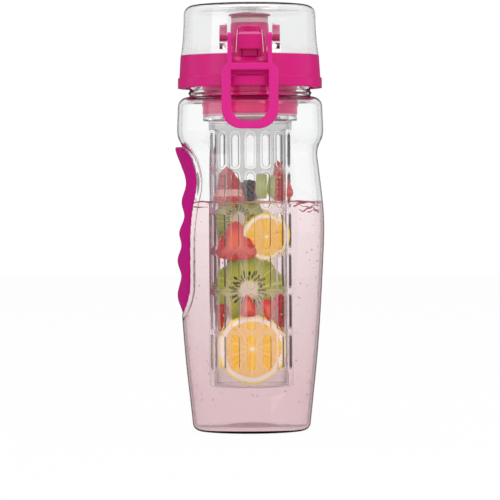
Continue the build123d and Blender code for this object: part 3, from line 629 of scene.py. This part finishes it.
drink = {
    "level": 138.0, "inset": 0.25, "lowTint": (0.80, 0.58, 0.61), "tintFade": (20, 135),
    "shares": [1.0, 1.0, 0.985, 0.965, 0.94, 0.88, 0.8, 0.7, 0.6, 0.5, 0.4, 0.3, 0.2, 0.1, 0.0],
    "rise": [0.6, 1.5, 0.9, 0.45, 0.2, 0.05] + [0] * 9,  # over the level, at each share of the rim's radius
    "waves": [  # start and end in degrees, height over the level, swing, phase
        (208, 232, -1.8, 0.12, 0.0), (308, 345, -1.6, 0.7, 0.5), (314, 350, -3.4, 0.9, 2.4),
        (311, 338, 0.4, 0.5, 4.0), (325, 352, -4.6, 0.6, 1.2)],
    "lineInset": 0.75, "lineRise": 0.9, "paleLineHighlight": (0.95, 0.74, 0.78),
    "bubbles": 150, "bubbleSize": (0.18, 0.55), "bubbleLow": 14, "bubbleUnder": 6, "bubbleInset": 0.9,
}
drinkLook = {
    **bottleLook, "tint": (0.97, 0.82, 0.83), "ior": 1.02, "flowScale": 12.0, "flowHeight": 0.0,
    "spread": 0.0, "shadowTint": (0.97, 0.9, 0.91),
}
# the line's dark tint is painted shade along the drink's edge
lineLook = {
    **bottleLook, "tint": (0.36, 0.04, 0.10), "ior": 1.12, "flowScale": 60.0, "flowHeight": 0.3,
    "roughness": 0.02, "spread": 0.02, "shadowTint": (0.9, 0.7, 0.75),
}
bubbleLook = {
    **bottleLook, "tint": (0.82, 0.5, 0.58), "ior": 1.2, "flowScale": 60.0, "flowHeight": 0.0,
    "spread": 0.01, "shadowTint": (0.95, 0.9, 0.9),
}


def drinkTop(radius, angle):
    # height of the drink's surface: the level and faint ripples that die out towards the axis
    x, y = radius * np.cos(angle), radius * np.sin(angle)
    ripple = 0.35 * np.sin(x * 0.22 + 0.8 * np.sin(y * 0.13)) + 0.25 * np.sin(y * 0.31 + x * 0.11 + 1.2)
    return drink["level"] + ripple * np.clip(radius / 20, 0, 1)


def drinkRim():
    # radius of the drink's edge at each of the bottle's angles
    level, inset = np.full((1, 1), drink["level"]), drink["inset"]
    return dented(sideRadius(level) - inset, bottleAngles()[:, None], level, inset)


def makeDrink():
    # one skin: the base, up the wall just inside the bottle, and in across the surface
    a, inset = bottleAngles()[:, None], drink["inset"]
    heights = bottleHeights(drink["level"] - 2, 1)
    side = pointsOf(sideRadius(heights) - inset, heights)
    profile = np.concatenate([baseProfile(inset), side])
    r = dented(profile[:, 0], a, profile[:, 1], inset)
    z = np.broadcast_to(profile[:, 1], r.shape)
    topR = drinkRim() * drink["shares"]
    topZ = drinkTop(topR, a) + drink["rise"]
    points = aroundAxis(np.concatenate([r, topR], 1), a, np.concatenate([z, topZ], 1))
    material = clearMaterial("pinkDrink", drinkLook)
    low, high = drink["tintFade"]
    height = placeAxes(material.node_tree)["Z"]
    fade = addNode(height, "MapRange", {"Value": height, "From Min": low * mm, "From Max": high * mm})
    tint = mixColour(fade.outputs[0], drink["lowTint"], drinkLook["tint"])
    feed(material.node_tree.nodes["Principled BSDF"], {"Base Color": tint})
    faces = gridFaces(len(a), points.shape[1], True, False)
    newPiece("pink_drink", [(points, faces, material)], "bottle", sharp=60)


def makeDrinkLine():
    # wavy tube round the wall at the level, and shorter ones near it where the surface laps the wall;
    # the tubes are tinted dark as painted shade along the drink's edge
    line = clearMaterial("drinkLine", lineLook)
    angles = bottleAngles()
    wave = 0.35 * np.sin(5 * angles) + 0.25 * np.sin(13 * angles + 1) + 0.15 * np.sin(29 * angles)
    wall = drinkRim()[:, 0] - bottle["wall"] - drink["lineInset"]
    size = 0.5 + 0.16 * np.sin(9 * angles + 2) + 0.1 * np.sin(23 * angles)
    path = aroundAxis(wall, angles, drink["level"] + drink["lineRise"] + wave)
    parts = [(*tubeAlong(path, size, 8, True), line)]
    for start, end, height, swing, phase in drink["waves"]:
        a = np.radians(np.linspace(start, end, 60))
        rise = drink["level"] + height + swing * np.sin(14 * a + phase) + swing / 2 * np.sin(37 * a)
        path = aroundAxis(np.interp(a, angles, wall), a, rise)
        parts.append((*tubeAlong(path, 0.32 + 0.14 * np.sin(20 * a + phase), 6), line))
    # painted highlight: the line is paler within 22 mm of the middle plane
    shadeWhere(line, drink["paleLineHighlight"], 0.9, Across=(-1, 22))
    newPiece("drink_edge_line", parts, "bottle", welded=False)


def ballPoints(centres, radii, rows=6, columns=8):
    # one small sphere of rows and columns at each centre, as arrays over all of them
    u = np.linspace(0, math.pi, rows)[:, None]
    v = np.linspace(0, 2 * math.pi, columns, endpoint=False)[None]
    unit = aroundAxis(np.sin(u), v, np.cos(u)).reshape(-1, 3)
    points = centres[:, None] + unit[None] * np.asarray(radii).reshape(-1, 1, 1)
    faces = gridFaces(rows, columns, False, True)[:, ::-1]
    return points.reshape(-1, 3), repeatFaces(faces, len(centres), rows * columns)


def makeBubbles():
    # small bubbles that cling to the wall inside the drink
    dice = np.random.default_rng(7)
    count, inset = drink["bubbles"], bottle["wall"] + drink["bubbleInset"]
    a = dice.uniform(0, 2 * math.pi, count)
    z = dice.uniform(drink["bubbleLow"], drink["level"] - drink["bubbleUnder"], count)
    r = dented(sideRadius(z) - inset, a, z, inset)
    size = dice.uniform(*drink["bubbleSize"], count)
    parts = [(*ballPoints(aroundAxis(r, a, z), size), clearMaterial("bubbleSkin", bubbleLook))]
    newPiece("drink_bubbles", parts, "bottle")


makeBottle()
makeThread()
makeGrip()
makeDrink()
makeDrinkLine()
makeBubbles()
print("bottle, grip and drink made")


basket = {
    "radius": 25.3, "wall": 1.6, "bottom": 27.0, "floor": 1.8, "columns": 16, "rows": 6, "slotWidth": 4.6,
    "slotTop": 181.5, "pitch": 24.5, "web": 3.2, "flangeRadius": 28.7, "flangeLow": 188.5, "flangeTop": 191.4,
    "neckRadius": 26.2, "neckTop": 200.0, "edge": 0.45, "milkyRow": 4, "footRound": 2.0, "floorRound": 1.0,
    "fillet": 1.2, "flangeRound": 0.8,
}


def slotOutline():
    # a quarter of a slot's round-ended outline and the cell's edge point that each point faces
    half = basket["slotWidth"] / 2
    cellHalf = math.pi * basket["radius"] / basket["columns"]
    slotHalf = (basket["pitch"] - basket["web"]) / 2
    straight = slotHalf - half
    rise = np.linspace(0, straight, 9)[:-1]
    side, sideEdge = pointsOf(half, rise), pointsOf(cellHalf, rise)
    corner = math.atan2(basket["pitch"] / 2 - straight, cellHalf)
    a = np.concatenate([np.linspace(0, corner, 6)[:-1], np.linspace(corner, math.pi / 2, 7)])
    cap = pointsOf(half * np.cos(a), straight + half * np.sin(a))
    reach = np.where(a <= corner + 1e-9, cellHalf / np.maximum(np.cos(a), 1e-9),
                     (basket["pitch"] / 2 - straight) / np.maximum(np.sin(a), 1e-9))
    capEdge = pointsOf(reach * np.cos(a), straight + reach * np.sin(a))
    return np.concatenate([side, cap]), np.concatenate([sideEdge, capEdge])


def ringOf(quarter):
    # a whole closed ring from one quarter, by mirroring it across both axes
    flipped = quarter[::-1][1:] * [-1, 1]
    top = np.concatenate([quarter, flipped])
    bottom = top[::-1][1:-1] * [1, -1]
    return np.concatenate([top, bottom])


def basketEnds(low, high):
    # profiles of the foot under the slots and of the head with the flange and neck over them
    outerR, bottom, top, neck = (basket[key] for key in ("radius", "bottom", "flangeTop", "neckRadius"))
    innerR, neckTop = outerR - basket["wall"], basket["neckTop"]
    c, d, f = basket["footRound"], basket["floorRound"], basket["fillet"]
    e, floorTop, flangeLow = basket["flangeRound"], bottom + basket["floor"], basket["flangeLow"]
    flange = basket["flangeRadius"] - e
    foot = [[(outerR, low)], arcPoints((outerR - c, bottom + c), c, 0, -90, 7), [(0, bottom), (0, floorTop)],
            arcPoints((innerR - d, floorTop + d), d, -90, 0, 5), [(innerR, low)]]
    head = [[(outerR, high), (outerR, flangeLow - f)], arcPoints((outerR + f, flangeLow - f), f, 180, 90, 5),
            arcPoints((flange, flangeLow + e), e, -90, 0, 5), arcPoints((flange, top - e), e, 0, 90, 5),
            [(neck, top), (neck, neckTop - 0.6), (neck - 0.6, neckTop), (innerR + 0.4, neckTop),
             (innerR, neckTop - 0.4), (innerR, high)]]
    return np.concatenate(foot), np.concatenate(head)


def makeBasket():
    # one cell of wall round each slot, as loops from the cell's edge over the slot's rounded rim and
    # through the wall, wrapped round the axis, and the two ends turned about it
    outline, edge = (ringOf(q) for q in slotOutline())
    away = np.roll(outline, -1, 0) - np.roll(outline, 1, 0)
    away = pointsOf(away[:, 1], -away[:, 0])
    away /= np.linalg.norm(away, axis=1, keepdims=True)
    e, outerR, innerR = basket["edge"], basket["radius"], basket["radius"] - basket["wall"]
    columns, rows, pitch = basket["columns"], basket["rows"], basket["pitch"]
    loops = [(edge, outerR), (outline + away * e, outerR), (outline + away * e * 0.3, outerR - e * 0.3),
             (outline, outerR - e), (outline, innerR + e), (outline + away * e * 0.3, innerR + e * 0.3),
             (outline + away * e, innerR), (edge, innerR)]
    flat = np.stack([shape for shape, _ in loops], 1)
    radii = np.array([radius for _, radius in loops])
    column = np.arange(columns) * 2 * math.pi / columns - math.pi / 2
    row = basket["slotTop"] - (pitch - basket["web"]) / 2 - np.arange(rows) * pitch
    a = flat[..., 0] / outerR + column[:, None, None, None]
    points = aroundAxis(radii, a, flat[..., 1] + row[None, :, None, None])
    n, m = flat.shape[:2]
    cells = repeatFaces(gridFaces(n, m, True, False), columns * rows, n * m)
    # painted shade: one long wall of each slot takes the near-black slotShade tint
    dark = np.zeros((n, m - 1), bool)
    dark[outline[:, 0] > 0.9 * outline[:, 0].max(), 2:5] = True  # one long wall of each slot
    dark = np.tile(dark.ravel(), columns * rows)
    milky = np.repeat(np.arange(rows) >= basket["milkyRow"], n * (m - 1))
    milky = np.tile(milky, columns)
    parts = [(points, cells[~dark & ~milky], basketPlastic),
             (points, cells[~dark & milky], basketLowPlastic), (points, cells[dark], slotShade)]
    across = edge[np.abs(edge[:, 1] - pitch / 2) < 1e-6][:, 0] / outerR
    angles = (column[:, None] + np.sort(across)[:-1]).reshape(-1, 1)
    foot, head = basketEnds(row[-1] - pitch / 2, row[0] + pitch / 2)
    for profile, material in ((foot, basketLowPlastic), (head, basketPlastic)):
        faces = gridFaces(len(angles), len(profile), True, False)[:, ::-1]
        parts.append((aroundAxis(profile[:, 0], angles, profile[:, 1]), faces, material))
    piece = newPiece("slotted_basket", parts, "infuser", sharp=42)
    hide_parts("infuser_basket")


makeBasket()
print("basket made")


def polarGroup():
    # a slice's own map, -1 to 1 across it, as distance from its centre and angle from 0 to 1
    group, given, out = nodeGroup(
        "slicePolar", {"wobble": "Float"}, dict.fromkeys(("radius", "angle", "streak", "cloud"), "Float"))
    spot = addNode(group, "UVMap", uv_map="own").outputs[0]
    length = addNode(group, "VectorMath", {0: spot}, operation="LENGTH").outputs["Value"]
    unit = addNode(group, "VectorMath", {0: spot}, operation="NORMALIZE").outputs[0]
    split = addNode(group, "SeparateXYZ", {0: unit}).outputs
    turn = mathNode("ARCTAN2", split["Y"], split["X"])
    cloud = noiseOf(spot, 5)
    drift = times(minus(cloud, 0.5), given["wobble"])
    feed(out, {
        "radius": mathNode("ADD", length, drift),
        "angle": mathNode("MULTIPLY_ADD", turn, 0.5 / math.pi, 0.5),
        "streak": noiseOf(unit, 9, 3), "cloud": cloud})
    return group


slicePolar = polarGroup()


def sliceMap(beside):
    return addNode(beside, "Group", {"wobble": 0.03}, node_tree=slicePolar).outputs


def wetShader(shader, colour, roughness, subsurface, reach, glow=0.14):
    # wet flesh: light scattered inside, a thin film of drink, and a faint glow for the light that
    # comes through thin slices
    feed(shader, {
        "Base Color": colour, "Emission Color": colour, "Emission Strength": glow, "Roughness": roughness,
        "Subsurface Weight": subsurface, "Subsurface Scale": reach, "Subsurface Radius": (1, 0.6, 0.3),
        "Coat Weight": 0.25, "Coat Roughness": 0.1})


def rowOfCells(angle, count, shift):
    # angle split into cells: distance from the cell's middle, and a random value for the cell
    scaled = mathNode("MULTIPLY_ADD", angle, count, shift)
    away = mathNode("ABSOLUTE", minus(mathNode("FRACT", scaled), 0.5))
    cell = {"W": mathNode("FLOOR", scaled)}
    return away, addNode(scaled, "TexWhiteNoise", cell, noise_dimensions="1D").outputs["Value"]


kiwi = {
    "core": (0.80, 0.74, 0.56), "bright": (0.44, 0.48, 0.012), "deep": (0.24, 0.30, 0.012),
    "rim": (0.38, 0.40, 0.11), "seed": (0.012, 0.009, 0.006), "streak": (0.72, 0.70, 0.22),
    "rings": [(24, 0.0, 0.36, 0.07), (21, 0.4, 0.47, 0.08)],  # seeds, shift, radius, a seed's half length
    "scatter": 0.1, "narrow": 3.6,  # of the seeds' radii, and a cell's width over a seed's half width
}


def kiwiMaterial():
    # pale core, streaked green flesh and two rings of dark oval seeds
    material, shader = newMaterial("kiwiFlesh")
    polar = sliceMap(shader)
    radius = polar["radius"]
    flesh = fadeColour(radius, 0.5, 1.0, kiwi["bright"], kiwi["deep"])
    lines = times(stepOf(polar["streak"], 0.5, 0.66), 0.6)
    flesh = mixColour(lines, flesh, kiwi["streak"])
    colour = fadeColour(radius, 0.2, 0.34, kiwi["core"], flesh)
    colour = fadeColour(radius, 0.96, 0.985, colour, kiwi["rim"])
    for count, shift, middle, reach in kiwi["rings"]:
        away, dice = rowOfCells(polar["angle"], count, shift)
        centre = mathNode("MULTIPLY_ADD", dice, kiwi["scatter"], middle - kiwi["scatter"] / 2)
        along = mathNode("DIVIDE", minus(radius, centre), reach)
        squares = [mathNode("POWER", value, 2) for value in (along, times(away, kiwi["narrow"]))]
        seed = minus(1, stepOf(mathNode("ADD", *squares), 0.7, 1.0))
        colour = mixColour(seed, colour, kiwi["seed"])
    wetShader(shader, colour, 0.3, 0.25, 0.003)
    return material


citrus = {
    "pulp": (0.98, 0.50, 0.008), "light": (1.0, 0.66, 0.06), "wall": (1.0, 0.76, 0.26),
    "pith": (0.98, 0.93, 0.80), "rind": (0.98, 0.80, 0.04), "segments": 10,
    "layers": [(0.08, 0.03, "pith"), (0.80, 0.83, "pith"), (0.925, 0.95, "rind")],  # fade's ends and colour
}


def citrusMaterial(name, glow):
    # streaked pulp in segments with pale walls, a pale core, the pith and a thin rind
    material, shader = newMaterial(name)
    polar = sliceMap(shader)
    pulp = fadeColour(polar["streak"], 0.38, 0.62, citrus["pulp"], citrus["light"])
    pulp = mixColour(times(polar["cloud"], 0.5), pulp, citrus["light"])
    away = rowOfCells(polar["angle"], citrus["segments"], 0.2)[0]
    border = times(minus(0.5, away), polar["radius"])
    wall = minus(1, stepOf(border, 0.012, 0.035))
    colour = mixColour(wall, pulp, citrus["wall"])
    for low, high, layer in citrus["layers"]:
        colour = fadeColour(polar["radius"], low, high, colour, citrus[layer])
    wetShader(shader, colour, 0.28, 0.3, 0.004, glow)
    return material


berry = {"skin": (0.58, 0.004, 0.005), "dark": (0.30, 0.001, 0.003), "seed": (0.75, 0.42, 0.10),
         "seedScale": 340.0, "cloudScale": 90.0, "flesh": (0.58, 0.005, 0.006), "pale": (0.84, 0.16, 0.08)}


def strawberrySkin():
    # cloudy red with a yellow seed in a dimple in the middle of each Voronoi cell
    material, shader = newMaterial("strawberrySkin")
    place = objectPlace(shader)
    inputs = {"Vector": place, "Scale": berry["seedScale"], "Randomness": 0.55}
    away = addNode(shader, "TexVoronoi", inputs).outputs["Distance"]
    colour = mixColour(noiseOf(place, berry["cloudScale"]), berry["skin"], berry["dark"])
    seed = minus(1, stepOf(away, 0.14, 0.2))
    colour = mixColour(seed, colour, berry["seed"])
    feed(shader, {"Normal": bumpOf(stepOf(away, 0.15, 0.5), 0.7, 0.6)})
    wetShader(shader, colour, 0.22, 0.15, 0.002)
    return material


def strawberryFlesh():
    # pale middle with pale streaks towards a red edge
    material, shader = newMaterial("strawberryFlesh")
    polar = sliceMap(shader)
    colour = fadeColour(polar["radius"], 0.2, 0.75, berry["pale"], berry["flesh"])
    lines = times(stepOf(polar["streak"], 0.52, 0.62), 0.55)
    colour = mixColour(lines, colour, berry["pale"])
    colour = fadeColour(polar["radius"], 0.84, 0.97, colour, berry["skin"])
    wetShader(shader, colour, 0.3, 0.3, 0.003)
    return material


darkBerryLook = {
    "colour": (0.022, 0.012, 0.03), "shade": (0.07, 0.008, 0.025), "cloudScale": 160.0, "cloudAmount": 0.6,
    "roughness": 0.18, "spread": 0.15, "grainScale": 1200.0, "grainHeight": 0.1,
    "shader": {"Coat Weight": 0.4, "Coat Roughness": 0.08},
}


def placed(points, centre, turn):
    # turns local points by degrees about X, then Y, then Z, and moves them to their centre
    rotation = np.array(Euler(np.radians(turn), "XYZ").to_matrix())
    return points @ rotation.T + np.asarray(centre, float)


def sliceParts(radius, thick, centre, turn, material, wave=0.02):
    # round slice: a face of rings, a rounded edge and a second face, with its own map
    e = min(0.8, thick / 4)  # the edge's rounding
    rings = np.linspace(0, radius - e, 7)
    arc = arcPoints((radius - e, -thick / 2 + e), e, -90, 0, 4)
    upper = arcPoints((radius - e, thick / 2 - e), e, 0, 90, 4)
    faces = pointsOf(rings[:-1], -thick / 2), pointsOf(rings[:-1][::-1], thick / 2)
    profile = np.concatenate([faces[0], arc, upper, faces[1]])
    a = np.linspace(0, 2 * math.pi, 72, endpoint=False)[:, None]
    r = profile[:, 0] * (1 + wave * np.sin(3 * a + centre[2]) + wave / 2 * np.sin(5 * a + centre[0]))
    x, z = r * np.cos(a), r * np.sin(a)
    share = profile[:, 0] / radius
    y = profile[:, 1] + 0.15 * np.sin(4 * a) * share
    uv = pointsOf(share * np.cos(a), share * np.sin(a))
    points = placed(pointsOf(x, y, z).reshape(-1, 3), centre, turn)
    return [(points, gridFaces(len(a), len(profile), True, False), material, uv)]


berryShape = cubicLine([0, 0.08, 0.25, 0.5, 0.72, 0.9, 1.0], [0, 0.24, 0.48, 0.76, 0.97, 0.93, 0.4], 4, -9)


def strawberryParts(length, halfWidth, centre, turn, skin, flesh):
    # half a strawberry, point up: a round back from its outline and a slightly domed cut face
    s = (1 - np.cos(np.linspace(0, math.pi, 26))) / 2
    w = np.clip(berryShape(s), 0, 2) * halfWidth
    w[0] = w[-1] = 0
    z = (0.5 - s) * length
    a = np.linspace(0, math.pi, 22)[:, None]
    back = pointsOf(w * np.cos(a), w * np.sin(a) * 0.85, z)
    u = np.cos(a)
    face = pointsOf(w * u, -0.5 * (1 - u**2) * w / halfWidth, z)
    out = np.maximum(np.abs(u) + 0 * w, np.abs(2 * s - 1)[None])
    lift = np.arctan2((0.5 - s) * 2, u + 0 * w)
    uv = pointsOf(out * np.cos(lift), out * np.sin(lift))
    faces = gridFaces(len(a), len(s))
    return [(placed(back.reshape(-1, 3), centre, turn), faces, skin),
            (placed(face.reshape(-1, 3), centre, turn), faces[:, ::-1], flesh, uv)]


darkBerry = {"radius": 6.4, "centre": (-1.0, -10.5, 145.5), "beads": 46, "stretch": 1.15, "seat": 0.78,
             "bead": 0.27}


def darkBerryParts(material):
    # beads on a golden spiral over an egg shape
    count, radius = darkBerry["beads"], darkBerry["radius"]
    k = np.arange(count) + 0.5
    lift = 1 - 2 * k / count
    spots = aroundAxis(np.sqrt(1 - lift**2), k * math.pi * (3 - math.sqrt(5)), lift * darkBerry["stretch"])
    spots = spots * radius * darkBerry["seat"] + darkBerry["centre"]
    return [(*ballPoints(spots, np.full(count, radius * darkBerry["bead"]), 8, 10), material)]


slices = [  # kind, radius, thickness, centre, turns in degrees
    ("lemon", 21.0, 5.5, (0.4, -6.5, 50.2), (3, 12, 4)),
    ("lemon", 19.5, 5.0, (0.5, 5.0, 50.0), (-6, 40, -8)),
    ("kiwi", 20.8, 5.5, (-1.5, -5.0, 86.0), (-3, 10, -3)),
    ("kiwi", 19.8, 5.0, (0.8, 5.0, 84.5), (6, 70, 8)),
    ("kiwi", 15.5, 4.0, (-6.5, -1.5, 128.5), (2, 130, -4)),
    ("orange", 14.2, 4.6, (9.2, -7.0, 118.2), (2, 20, 6)),
    ("kiwi", 7.6, 6.2, (6.6, -11.0, 148.5), (0, 0, 84)),
    ("kiwi", 7.4, 5.0, (14.6, -6.0, 148.2), (0, 0, 72)),
    ("orange", 17.0, 5.0, (-2.0, 9.0, 121.0), (0, 50, 12)),
]
strawberries = [  # length, half width, centre, turns in degrees
    (23.5, 12.2, (-9.0, -10.5, 116.0), (0, 0, 3)),
    (24.0, 10.4, (-13.2, -10.5, 149.2), (0, 8, 172)),
    (25.0, 6.6, (18.2, -6.5, 152.0), (0, 8, 168)),
    (13.5, 4.6, (10.4, -12.5, 73.6), (0, 176, 12)),
    (25.0, 5.4, (17.6, -6.8, 71.0), (0, 186, 150)),
    (13.5, 5.4, (-1.8, -13.0, 76.4), (0, -6, 0)),
    (17.0, 4.6, (-18.2, -7.5, 69.0), (0, 174, 190)),
    (22.0, 9.0, (3.0, 13.0, 128.0), (0, 10, 180)),
    (20.0, 8.0, (-10.0, 12.0, 103.0), (0, 20, 200)),
    (18.0, 8.0, (10.0, 12.5, 66.0), (0, 160, 170)),
]


def makeFruit():
    flesh = {"kiwi": kiwiMaterial(), "orange": citrusMaterial("orangeFlesh", 0.1),
             "lemon": citrusMaterial("lemonFlesh", 0.27)}
    skin, cut = strawberrySkin(), strawberryFlesh()
    shadeWhere(skin, (0.74, 0.50, 0.44), 0.65, X=(-26, -5), Y=(-26, 0), Z=(142.6, 146.8))
    for k, (kind, radius, thick, centre, turn) in enumerate(slices, 1):
        parts = sliceParts(radius, thick, centre, turn, flesh[kind])
        newPiece(f"{kind}_slice_{k}", parts, "infuser")
    for k, (length, half, centre, turn) in enumerate(strawberries, 1):
        parts = strawberryParts(length, half, centre, turn, skin, cut)
        newPiece(f"strawberry_half_{k}", parts, "infuser", sharp=50)
    parts = darkBerryParts(mouldedMaterial("darkBerrySkin", darkBerryLook))
    newPiece("dark_berry", parts, "infuser")


makeFruit()
print("fruit made")


lidParts = {  # CAD node, and the material and slot of its smooth copy
    "lid_base": (collarPlastic, "pink_plastic"),
    "flip_cover": (coverPlastic, "clear_plastic"),
    "lock_loop": (loopPlastic, "pink_plastic"),
    "release_button": (buttonPlastic, "pink_plastic"),
    "spout_seal": (sealSilicone, "seal_silicone"),
    "neck_gasket": (gasketSilicone, "gasket_silicone"),
    "infuser_gasket": (pinkGasket, "gasket_silicone"),
    "cover_hinge_pin": (springSteel, "spring_steel"),
    "loop_pins": (pinkPlastic, "pink_plastic"),
}
for node, finish in lidParts.items():
    smoothNode(node, *finish)

springs = {
    "cover": {"radius": 2.2, "pitch": 1.3, "turns": 5, "wire": 0.4, "centre": (0, 45.8, 226.8),
              "legs": (5.0, 4.0)},
    "button": {"radius": 1.5, "pitch": 1.2, "turns": 3, "wire": 0.3, "centre": (0, -29.7, 229.1),
               "legs": (0.6, 0.6), "fixedEnd": (0, -25.8, 229.1), "pressed": 0.64},
}


def coilPath(look, perTurn=28):
    # a coil about Z that starts and ends in straight legs along its ends' headings
    a = np.linspace(0, 2 * math.pi * look["turns"], perTurn * look["turns"] + 1)
    points = aroundAxis(look["radius"], a, look["pitch"] * a / (2 * math.pi))
    lead = points[0] + np.array([0, -1, 0]) * np.linspace(look["legs"][0], 0.4, 5)[:, None]
    tail = points[-1] + np.array([0, 1, 0]) * np.linspace(0.4, look["legs"][1], 5)[:, None]
    return np.concatenate([lead, points, tail])


def springPiece(name, node, path, look):
    parts = [(*tubeAlong(path + look["centre"], look["wire"]), springSteel)]
    piece = newPiece(name, parts, "lid")
    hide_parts(node)
    return piece


def makeSprings():
    # the cover's coil lies across, along the hinge pin, and the button's coil from front to back
    cover, button = springs["cover"], springs["button"]
    x, y, z = coilPath(cover).T
    path = pointsOf(z - cover["pitch"] * cover["turns"] / 2, -x, -y)
    springPiece("cover_torsion_spring", "cover_spring", path, cover)
    x, y, z = coilPath(button).T
    piece = springPiece("button_return_spring", "button_spring", pointsOf(x, z, -y), button)
    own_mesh(piece)


makeSprings()
print("lid parts made")


camera = {"distance": 1.9, "height": 0.130, "widthAtAxis": 0.305, "centreHeight": 0.110, "roll": -0.33,
          "aside": 0.0004, "sensor": 36}


def makeCamera():
    data = bpy.data.cameras.new("camera")
    data.sensor_width = camera["sensor"]
    data.lens = camera["sensor"] * camera["distance"] / camera["widthAtAxis"]
    data.shift_x = -camera["aside"] / camera["widthAtAxis"]
    data.shift_y = (camera["centreHeight"] - camera["height"]) / camera["widthAtAxis"]
    data.clip_start, data.clip_end = 0.01, 50
    eye = bpy.data.objects.new("camera", data)
    eye.location = (0, -camera["distance"], camera["height"])
    eye.rotation_euler = Euler((math.pi / 2, -math.radians(camera["roll"]), 0), "YXZ")
    scene.collection.objects.link(eye)
    scene.camera = eye


lamps = {
    "key": {"at": (1.3, -1.6, 1.5), "size": 1.4, "power": 16.0},
    "fill": {"at": (-1.7, -1.2, 0.9), "size": 1.2, "power": 7.0},
    "top": {"at": (0.0, 0.3, 1.9), "size": 1.2, "power": 8.0},
}
lampTarget = [0, 0, 0.15]


def makeLamps():
    for name, look in lamps.items():
        data = bpy.data.lights.new(name, "AREA")
        data.energy, data.size = look["power"], look["size"]
        lamp = bpy.data.objects.new(name, data)
        lamp.location = look["at"]
        aim = -np.array(look["at"]) + lampTarget
        lamp.rotation_euler = Vector(aim).to_track_quat("-Z", "Y").to_euler()
        lamp.visible_camera = False
        scene.collection.objects.link(lamp)


def seenDirectly(path, glossShare):
    # one for the rays that see the background straight or through clear plastic, less in gloss
    gloss = times(path["Is Glossy Ray"], glossShare)
    gloss = mathNode("MAXIMUM", gloss, path["Is Transmission Ray"])
    return mathNode("MAXIMUM", path["Is Camera Ray"], gloss)


studio = {"light": 0.65, "seenLight": 0.35, "glossShare": 0.25, "floorReach": 5.0, "floorHeight": -0.00005,
          "floorGlow": 0.96, "floorShade": 0.9, "floorInGloss": 0.12}
backCard = {"reach": 2.5, "distance": 1.3, "low": -0.3, "high": 1.6, "shade": 0.12}


def makeWorld():
    # even pale light, at full white where it is seen
    world = bpy.data.worlds.new("paleStudio")
    scene.world = world
    world.use_nodes = True
    seen = seenDirectly(addNode(world.node_tree, "LightPath").outputs, studio["glossShare"])
    strength = mathNode("MULTIPLY_ADD", seen, studio["seenLight"], studio["light"])
    feed(world.node_tree.nodes["Background"], {"Color": (1, 1, 1), "Strength": strength})


def stagePlane(name, corners, material):
    # one flat face of the set, which isn't part of the object
    mesh = bpy.data.meshes.new(name)
    mesh.from_pydata(corners, [], [(0, 1, 2, 3)])
    mesh.materials.append(material)
    plane = bpy.data.objects.new(name, mesh)
    scene.collection.objects.link(plane)
    return plane


def makeFloor():
    # glows white, with a faint shadow, where it is seen straight or through clear plastic, is matt
    # for other rays, and dark in gloss
    material, shader = newMaterial("paleFloor")
    path = addNode(shader, "LightPath").outputs
    shade, dim = ([studio[key]] * 3 for key in ("floorShade", "floorInGloss"))
    tint = mixColour(path["Is Glossy Ray"], shade, dim)
    feed(shader, {"Base Color": tint, "Roughness": 0.8, "Specular IOR Level": 0.1})
    glow = times(seenDirectly(path, 0), studio["floorGlow"])
    mixShaders(glow, shader, addNode(shader, "Emission"))
    reach, z = studio["floorReach"], studio["floorHeight"]
    corners = [(-reach, -reach, z), (reach, -reach, z), (reach, reach, z), (-reach, reach, z)]
    stagePlane("floor", corners, material)


def makeBackCard():
    # grey card behind the set, seen only in reflections, so that clear edges read darker
    material, shader = newMaterial("greyCard")
    feed(shader, {"Base Color": [backCard["shade"]] * 3, "Roughness": 1, "Specular IOR Level": 0})
    x, y, low, high = (backCard[key] for key in ("reach", "distance", "low", "high"))
    card = stagePlane("back_card", [(-x, y, low), (x, y, low), (x, y, high), (-x, y, high)], material)
    card.visible_camera = card.visible_diffuse = card.visible_shadow = card.visible_transmission = False


makeCamera()
makeLamps()
makeWorld()
makeFloor()
makeBackCard()
scene.view_settings.view_transform = "Standard"
print("camera, light and floor made")
